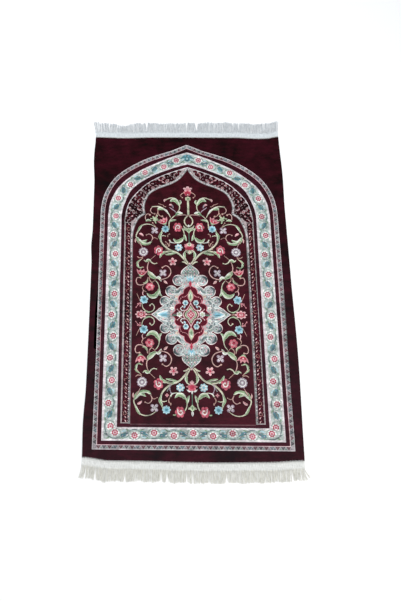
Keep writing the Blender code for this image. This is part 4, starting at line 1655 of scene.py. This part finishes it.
# %% Locks and partings
TRIM_GAP, TAPE_DEPTH = 0.0003, 0.024
STRAND_LENGTH = {"head": 0.0435, "foot": 0.0370}
PART_REACH = 0.015  # a parting pushes its neighbours aside this far away
PARTINGS = {  # place along the end, width at the tips
    "head": [(-0.299, 0.006), (-0.208, 0.007), (-0.157, 0.008), (-0.002, 0.010), (0.036, 0.012),
             (0.177, 0.008), (0.199, 0.006), (0.298, 0.006)],
    "foot": [(-0.334, 0.004), (-0.306, 0.009), (-0.270, 0.004), (-0.214, 0.011), (-0.181, 0.005),
             (-0.137, 0.004), (-0.101, 0.008), (-0.083, 0.009), (-0.022, 0.007), (-0.005, 0.006),
             (0.103, 0.009), (0.223, 0.004), (0.308, 0.008)],
}
LENGTH_RUNS = {  # place, reach, how much longer
    "head": [(-0.350, 0.040, 0.002), (-0.250, 0.065, -0.010), (-0.080, 0.100, -0.003),
             (0.120, 0.100, 0.002), (0.335, 0.050, 0.005)],
    "foot": [(-0.290, 0.070, 0.002), (0.300, 0.100, -0.001)],
}
FLARES = {  # place, reach, lean
    "head": [(-0.350, 0.022, -0.011), (0.350, 0.020, 0.007)],
    "foot": [(-0.350, 0.020, -0.008), (0.350, 0.007, 0.026)],
}
SPLAY = {"head": -0.005, "foot": -0.001}  # how far the trim's left end spreads outwards
SPLAY_REACH = 0.03
OUTWARD = {"head": 1, "foot": -1}


def trim_point(end, place, out):
    """A point of the trim: place along the end, and how far out from the cloth's edge."""
    edge = laid(place, OUTWARD[end] * CLOTH_LENGTH / 2)
    splay = SPLAY[end] * np.exp(-(place + CLOTH_WIDTH / 2) / SPLAY_REACH) * out / TAPE_DEPTH
    return edge[..., 0] + splay, edge[..., 1] + OUTWARD[end] * out


def tip_shift(end, place):
    """How far sideways a strand's tip ends up."""
    shift = sum(math.copysign(wide / 2 * math.exp(-abs(place - at) / PART_REACH), place - at)
                for at, wide in PARTINGS[end])
    return shift + sum(lean * math.exp(-abs(place - at) / reach) for at, reach, lean in FLARES[end])


print("partings:", {end: len(rows) for end, rows in PARTINGS.items()})

# %% Guides of the fringe
LOCK_LENGTHS = [(0.0016, 88, 1.0), (0.0011, 205, 2.1), (0.0009, 480, 0.4)]  # swing, radians a metre, phase
LAYERS = [(200, 0.0009, 0.0004), (200, 0.0017, 0.0010), (190, 0.0024, 0.0017)]  # yarns, root and tip height
YARN_RADIUS, YARN_SEGMENTS = 0.00078, 22
PLY_TURN = math.radians(38)  # twist from one ring of a yarn to the next
ROOT_HIDDEN = 0.0035  # a strand starts this far inside the heading
END_MARGIN = 0.002  # the strands stop short of the cloth's corners
CUT_SHORT, USUALLY_SHORT = 0.006, 0.0012  # how much shorter than its length a strand may be, and mostly is
TIP_WANDER, SWAY, LIFT = 0.0013, 0.0006, 0.0005
BEND, DROP, THINNED_FROM = 1.35, 2.6, 0.86  # where along a strand it swings, drops and thins


def fringe_guides(end, rng):
    """The strands of one end, as guides for the yarn tree."""
    guides = []
    t = np.linspace(0, 1, YARN_SEGMENTS + 1)
    for count, root_height, tip_height in LAYERS:
        for k in range(count):
            place = ((k + 0.5 + rng.uniform(-0.3, 0.3)) / count - 0.5) * (CLOTH_WIDTH - END_MARGIN)
            length = STRAND_LENGTH[end] - rng.triangular(0, CUT_SHORT, USUALLY_SHORT)
            length += float(sum(longer * hump(place - at, reach) for at, reach, longer in LENGTH_RUNS[end]))
            length += sum(swing * math.sin(rate * place + phase) for swing, rate, phase in LOCK_LENGTHS)
            shift = tip_shift(end, place) + rng.gauss(0, TIP_WANDER)
            sway, phase = rng.gauss(0, SWAY), rng.uniform(0, 2 * math.pi)
            reach = math.sqrt(length ** 2 - min(abs(shift), 0.8 * length) ** 2)
            x, y = trim_point(end, place, TRIM_GAP + TAPE_DEPTH - ROOT_HIDDEN)
            aside = shift * t ** BEND + sway * t * np.sin(phase + 5 * t)
            away = OUTWARD[end] * (ROOT_HIDDEN + reach) * t
            lift = root_height + (tip_height - root_height) * np.minimum(1, DROP * t) ** 1.5
            lift = lift + rng.uniform(0, LIFT) * np.sin(math.pi * t) + YARN_RADIUS * 0.8
            thinner = np.maximum(0, (t - THINNED_FROM) / (1 - THINNED_FROM)) ** 2
            fat = rng.uniform(0.85, 1.12) * (1 - 0.5 * thinner)
            twist = rng.uniform(0, 6) + PLY_TURN * np.arange(len(t)) * rng.uniform(0.8, 1.1)
            guides.append((np.column_stack([x + aside, y + away, lift]), fat, twist))
    return guides


print("each end has", sum(layer[0] for layer in LAYERS), "strands")

# %% [markdown]
# ## The heading
# Between the fringe and the cloth runs the heading: the yarns lie side by side across it, held by
# two rows of chain stitch. Its body is a thin tape, so that nothing shows through between the yarns,
# and the ribs and the binding rows are swept over it by the same tree.

# %% Tape of the heading
TAPE_BODY = 0.0014  # its thickness without the ribs
END_STATIONS = 320


def tape_mesh(name, end):
    """The heading's flat body: a strip with rounded long edges, closed all round."""
    place = np.linspace(-0.5, 0.5, END_STATIONS + 1) * CLOTH_WIDTH
    section = [  # how far out, height
        (0.0002, 0.0002), (0.0, 0.0008), (0.0005, TAPE_BODY), (TAPE_DEPTH - 0.0005, TAPE_BODY),
        (TAPE_DEPTH, 0.0008), (TAPE_DEPTH - 0.0002, 0.0002)]
    columns = []
    for out, height in section:
        x, y = trim_point(end, place, TRIM_GAP + out)
        columns.append(np.column_stack([x, y, np.full(len(x), height)]))
    points = np.stack(columns, 1).reshape(-1, 3)
    wide = len(section)
    faces = []
    for k in range(END_STATIONS):
        for j in range(wide):
            a, b = k * wide + j, k * wide + (j + 1) % wide
            faces.append((a, b, b + wide, a + wide)[::-OUTWARD[end]])
    faces.append(tuple(range(wide))[::OUTWARD[end]])
    faces.append(tuple(END_STATIONS * wide + j for j in range(wide))[::-OUTWARD[end]])
    mesh = mesh_of(name, points.tolist(), faces=faces)
    mesh.update()
    return mesh


print("the tape is", 1000 * TAPE_DEPTH, "mm deep, with", END_STATIONS, "sections")

# %% Ribs of the heading
RIB_PITCH, RIB_RADIUS, RIB_SEGMENTS = 0.00225, 0.0012, 8
RIB_START, RIB_STOP = 0.0008, 0.0006  # how far inside the tape's edges a rib begins and ends
RIB_LEAN = 0.0002
RIB_TURN = 0.55  # twist from one ring of a rib to the next
SUNK, PINCHED = 0.25, 0.45  # rib radii: height over the tape, and what a binding row takes
BINDING_ROWS = [(0.0025, 0.0010), (0.0225, 0.0007)]  # how far out, thread radius


def rib_guides(end, rng):
    """Short yarns across the heading, from the seam to where the strands hang free."""
    guides = []
    count = int(CLOTH_WIDTH / RIB_PITCH)
    t = np.linspace(0, 1, RIB_SEGMENTS + 1)
    for k in range(count):
        place = ((k + 0.5) / count - 0.5) * (CLOTH_WIDTH - 0.001)
        x, y = trim_point(end, place, TRIM_GAP + RIB_START)
        lean = rng.gauss(0, RIB_LEAN)
        pinch = sum(hump(t * TAPE_DEPTH - out, 0.0025) for out, _ in BINDING_ROWS)
        height = TAPE_BODY + RIB_RADIUS * (SUNK - PINCHED * np.clip(pinch, 0, 1)) + 0.0001 * rng.random()
        away = OUTWARD[end] * (TAPE_DEPTH - RIB_STOP) * t
        points = np.column_stack([x + lean * t, y + away, height])
        twist = rng.uniform(0, 6) + RIB_TURN * np.arange(len(t))
        guides.append((points, np.full(len(t), rng.uniform(0.93, 1.05)), twist))
    return guides


print(int(CLOTH_WIDTH / RIB_PITCH), "ribs an end")

# %% Chain stitch
STITCH_SWING, STITCH_LIFT = 0.0006, 0.0002
STITCH_HEIGHT = 0.72  # rib radii over the tape


def binding_guides(end, out, radius):
    """A row of chain stitch: two threads that cross between the ribs."""
    count = int(CLOTH_WIDTH / RIB_PITCH) * 2
    t = np.linspace(0, 1, count + 1)
    guides = []
    for phase in (0, math.pi):
        turn = math.pi * np.arange(count + 1) + phase
        swing = STITCH_SWING * np.sin(turn + math.pi / 2)
        x, y = trim_point(end, (t - 0.5) * (CLOTH_WIDTH - 0.001), TRIM_GAP + out + swing)
        height = TAPE_BODY + RIB_RADIUS * STITCH_HEIGHT + STITCH_LIFT * np.cos(turn)
        guides.append((np.column_stack([x, y, height]), np.full(count + 1, radius / RIB_RADIUS),
                       0.7 * np.arange(count + 1)))
    return guides


print("rows of chain stitch:", len(BINDING_ROWS))

# %% [markdown]
# The seam that joins cloth and heading is an overlock stitch: a thick white thread that loops over
# the edge at every 5 mm or so, which gives the cloth's end its small bright teeth.

# %% Seam
SEAM_PITCH = 0.0047
SEAM_RADIUS = 0.00065


def seam_guides(end, rng):
    """One long thread that loops over the cloth's edge at every pitch."""
    count = int(CLOTH_WIDTH / SEAM_PITCH)
    shape = [  # share of the pitch, how far out, height
        (0.00, -0.0034, 0.0033), (0.16, -0.0016, 0.0039), (0.34, 0.0006, 0.0036), (0.50, 0.0024, 0.0030),
        (0.62, 0.0018, 0.0034), (0.78, -0.0004, 0.0038), (0.92, -0.0026, 0.0037)]
    rows = [(k + share, out, height) for k in range(count) for share, out, height in shape]
    share, out, height = np.array(rows).T
    out = out + np.where(out < -0.003, [rng.uniform(-0.0006, 0.0006) for _ in rows], 0)
    x, y = trim_point(end, (share / count - 0.5) * (CLOTH_WIDTH - 0.004) + 0.0005, TRIM_GAP + out)
    return [(np.column_stack([x, y, height]), np.ones(len(x)), 0.6 * np.arange(len(x)))]


print("the seam has", int(CLOTH_WIDTH / SEAM_PITCH), "loops an end")

# %% [markdown]
# ## Put together
# Every piece rides on the rug's one body. The cloth stands for its solid, and each fringe with its
# heading and seam stands for the trim at its end.

# %% Cloth in place
cloth.data.materials.append(cloth_finish)
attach(cloth, "root")
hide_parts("cloth")
print("the cloth stands for its solid")

# %% Trims in place
for number, end in enumerate(("head", "foot")):
    rng = random.Random(11 + number)
    fringe = swept("fringe_yarns_" + end, fringe_guides(end, rng), yarn,
                   **{"Ply radius": YARN_RADIUS, "Plies": 3, "Yarn material": fringe_finish[end]})
    ribs = swept("heading_" + end, rib_guides(end, rng), yarn,
                 **{"Ply radius": RIB_RADIUS, "Plies": 3, "Yarn material": heading_finish[end]})
    rows = [guide for out, radius in BINDING_ROWS for guide in binding_guides(end, out, radius)]
    binding = swept("binding_" + end, rows, yarn,
                    **{"Ply radius": RIB_RADIUS, "Plies": 3, "Yarn material": heading_finish[end]})
    seam = swept("seam_" + end, seam_guides(end, rng), yarn,
                 **{"Ply radius": SEAM_RADIUS, "Plies": 3, "Yarn material": seam_finish})
    tape = placed("tape_" + end, tape_mesh("tape_" + end, end))
    tape.data.materials.append(heading_finish[end])
    for piece in (fringe, ribs, binding, seam, tape):
        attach(piece, "root")
        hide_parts("fringe_" + end)

# %% [markdown]
# ## Floor and light
# The rug lies on a plain white floor, as in a shop's photograph, under a wide soft light from above
# and a pale sky all round, so that its shadow is only a thin soft line.

# %% Floor
REACH = 6.0  # metres from the middle to the floor's edges
corners = [(-REACH, -REACH, 0), (REACH, -REACH, 0), (REACH, REACH, 0), (-REACH, REACH, 0)]
floor = placed("floor", mesh_of("floor", corners, faces=[(0, 1, 2, 3)]))
plain = bpy.data.materials.new("floor white")
plain.use_nodes = True
plain.node_tree.nodes["Principled BSDF"].inputs["Base Color"].default_value = (0.95, 0.95, 0.95, 1)
plain.node_tree.nodes["Principled BSDF"].inputs["Roughness"].default_value = 0.9
floor.data.materials.append(plain)
print("floor", 2 * REACH, "m wide")

# %% Lights


def area_light(name, place, aim, size, power, tint):
    """A square lamp turned towards a point."""
    lamp = bpy.data.lights.new(name, "AREA")
    lamp.size, lamp.energy, lamp.color = size, power, tint
    holder = placed(name, lamp)
    holder.location = place
    holder.rotation_euler = (Vector(aim) - Vector(place)).to_track_quat("-Z", "Y").to_euler()


area_light("overhead", (-0.6, 0.9, 2.6), (0, 0, 0), 2.4, 56, (0.97, 0.99, 1.0))
area_light("window", (1.5, -1.6, 1.8), (0, -0.3, 0), 1.6, 26, (1.0, 0.95, 0.87))
world = bpy.data.worlds.new("studio")
bpy.context.scene.world = world
world.use_nodes = True
world.node_tree.nodes["Background"].inputs["Color"].default_value = (0.92, 0.95, 1.0, 1)
world.node_tree.nodes["Background"].inputs["Strength"].default_value = 0.55
bpy.context.scene.view_settings.view_transform = "Standard"
print("lamps:", [lamp.name for lamp in bpy.data.lights])
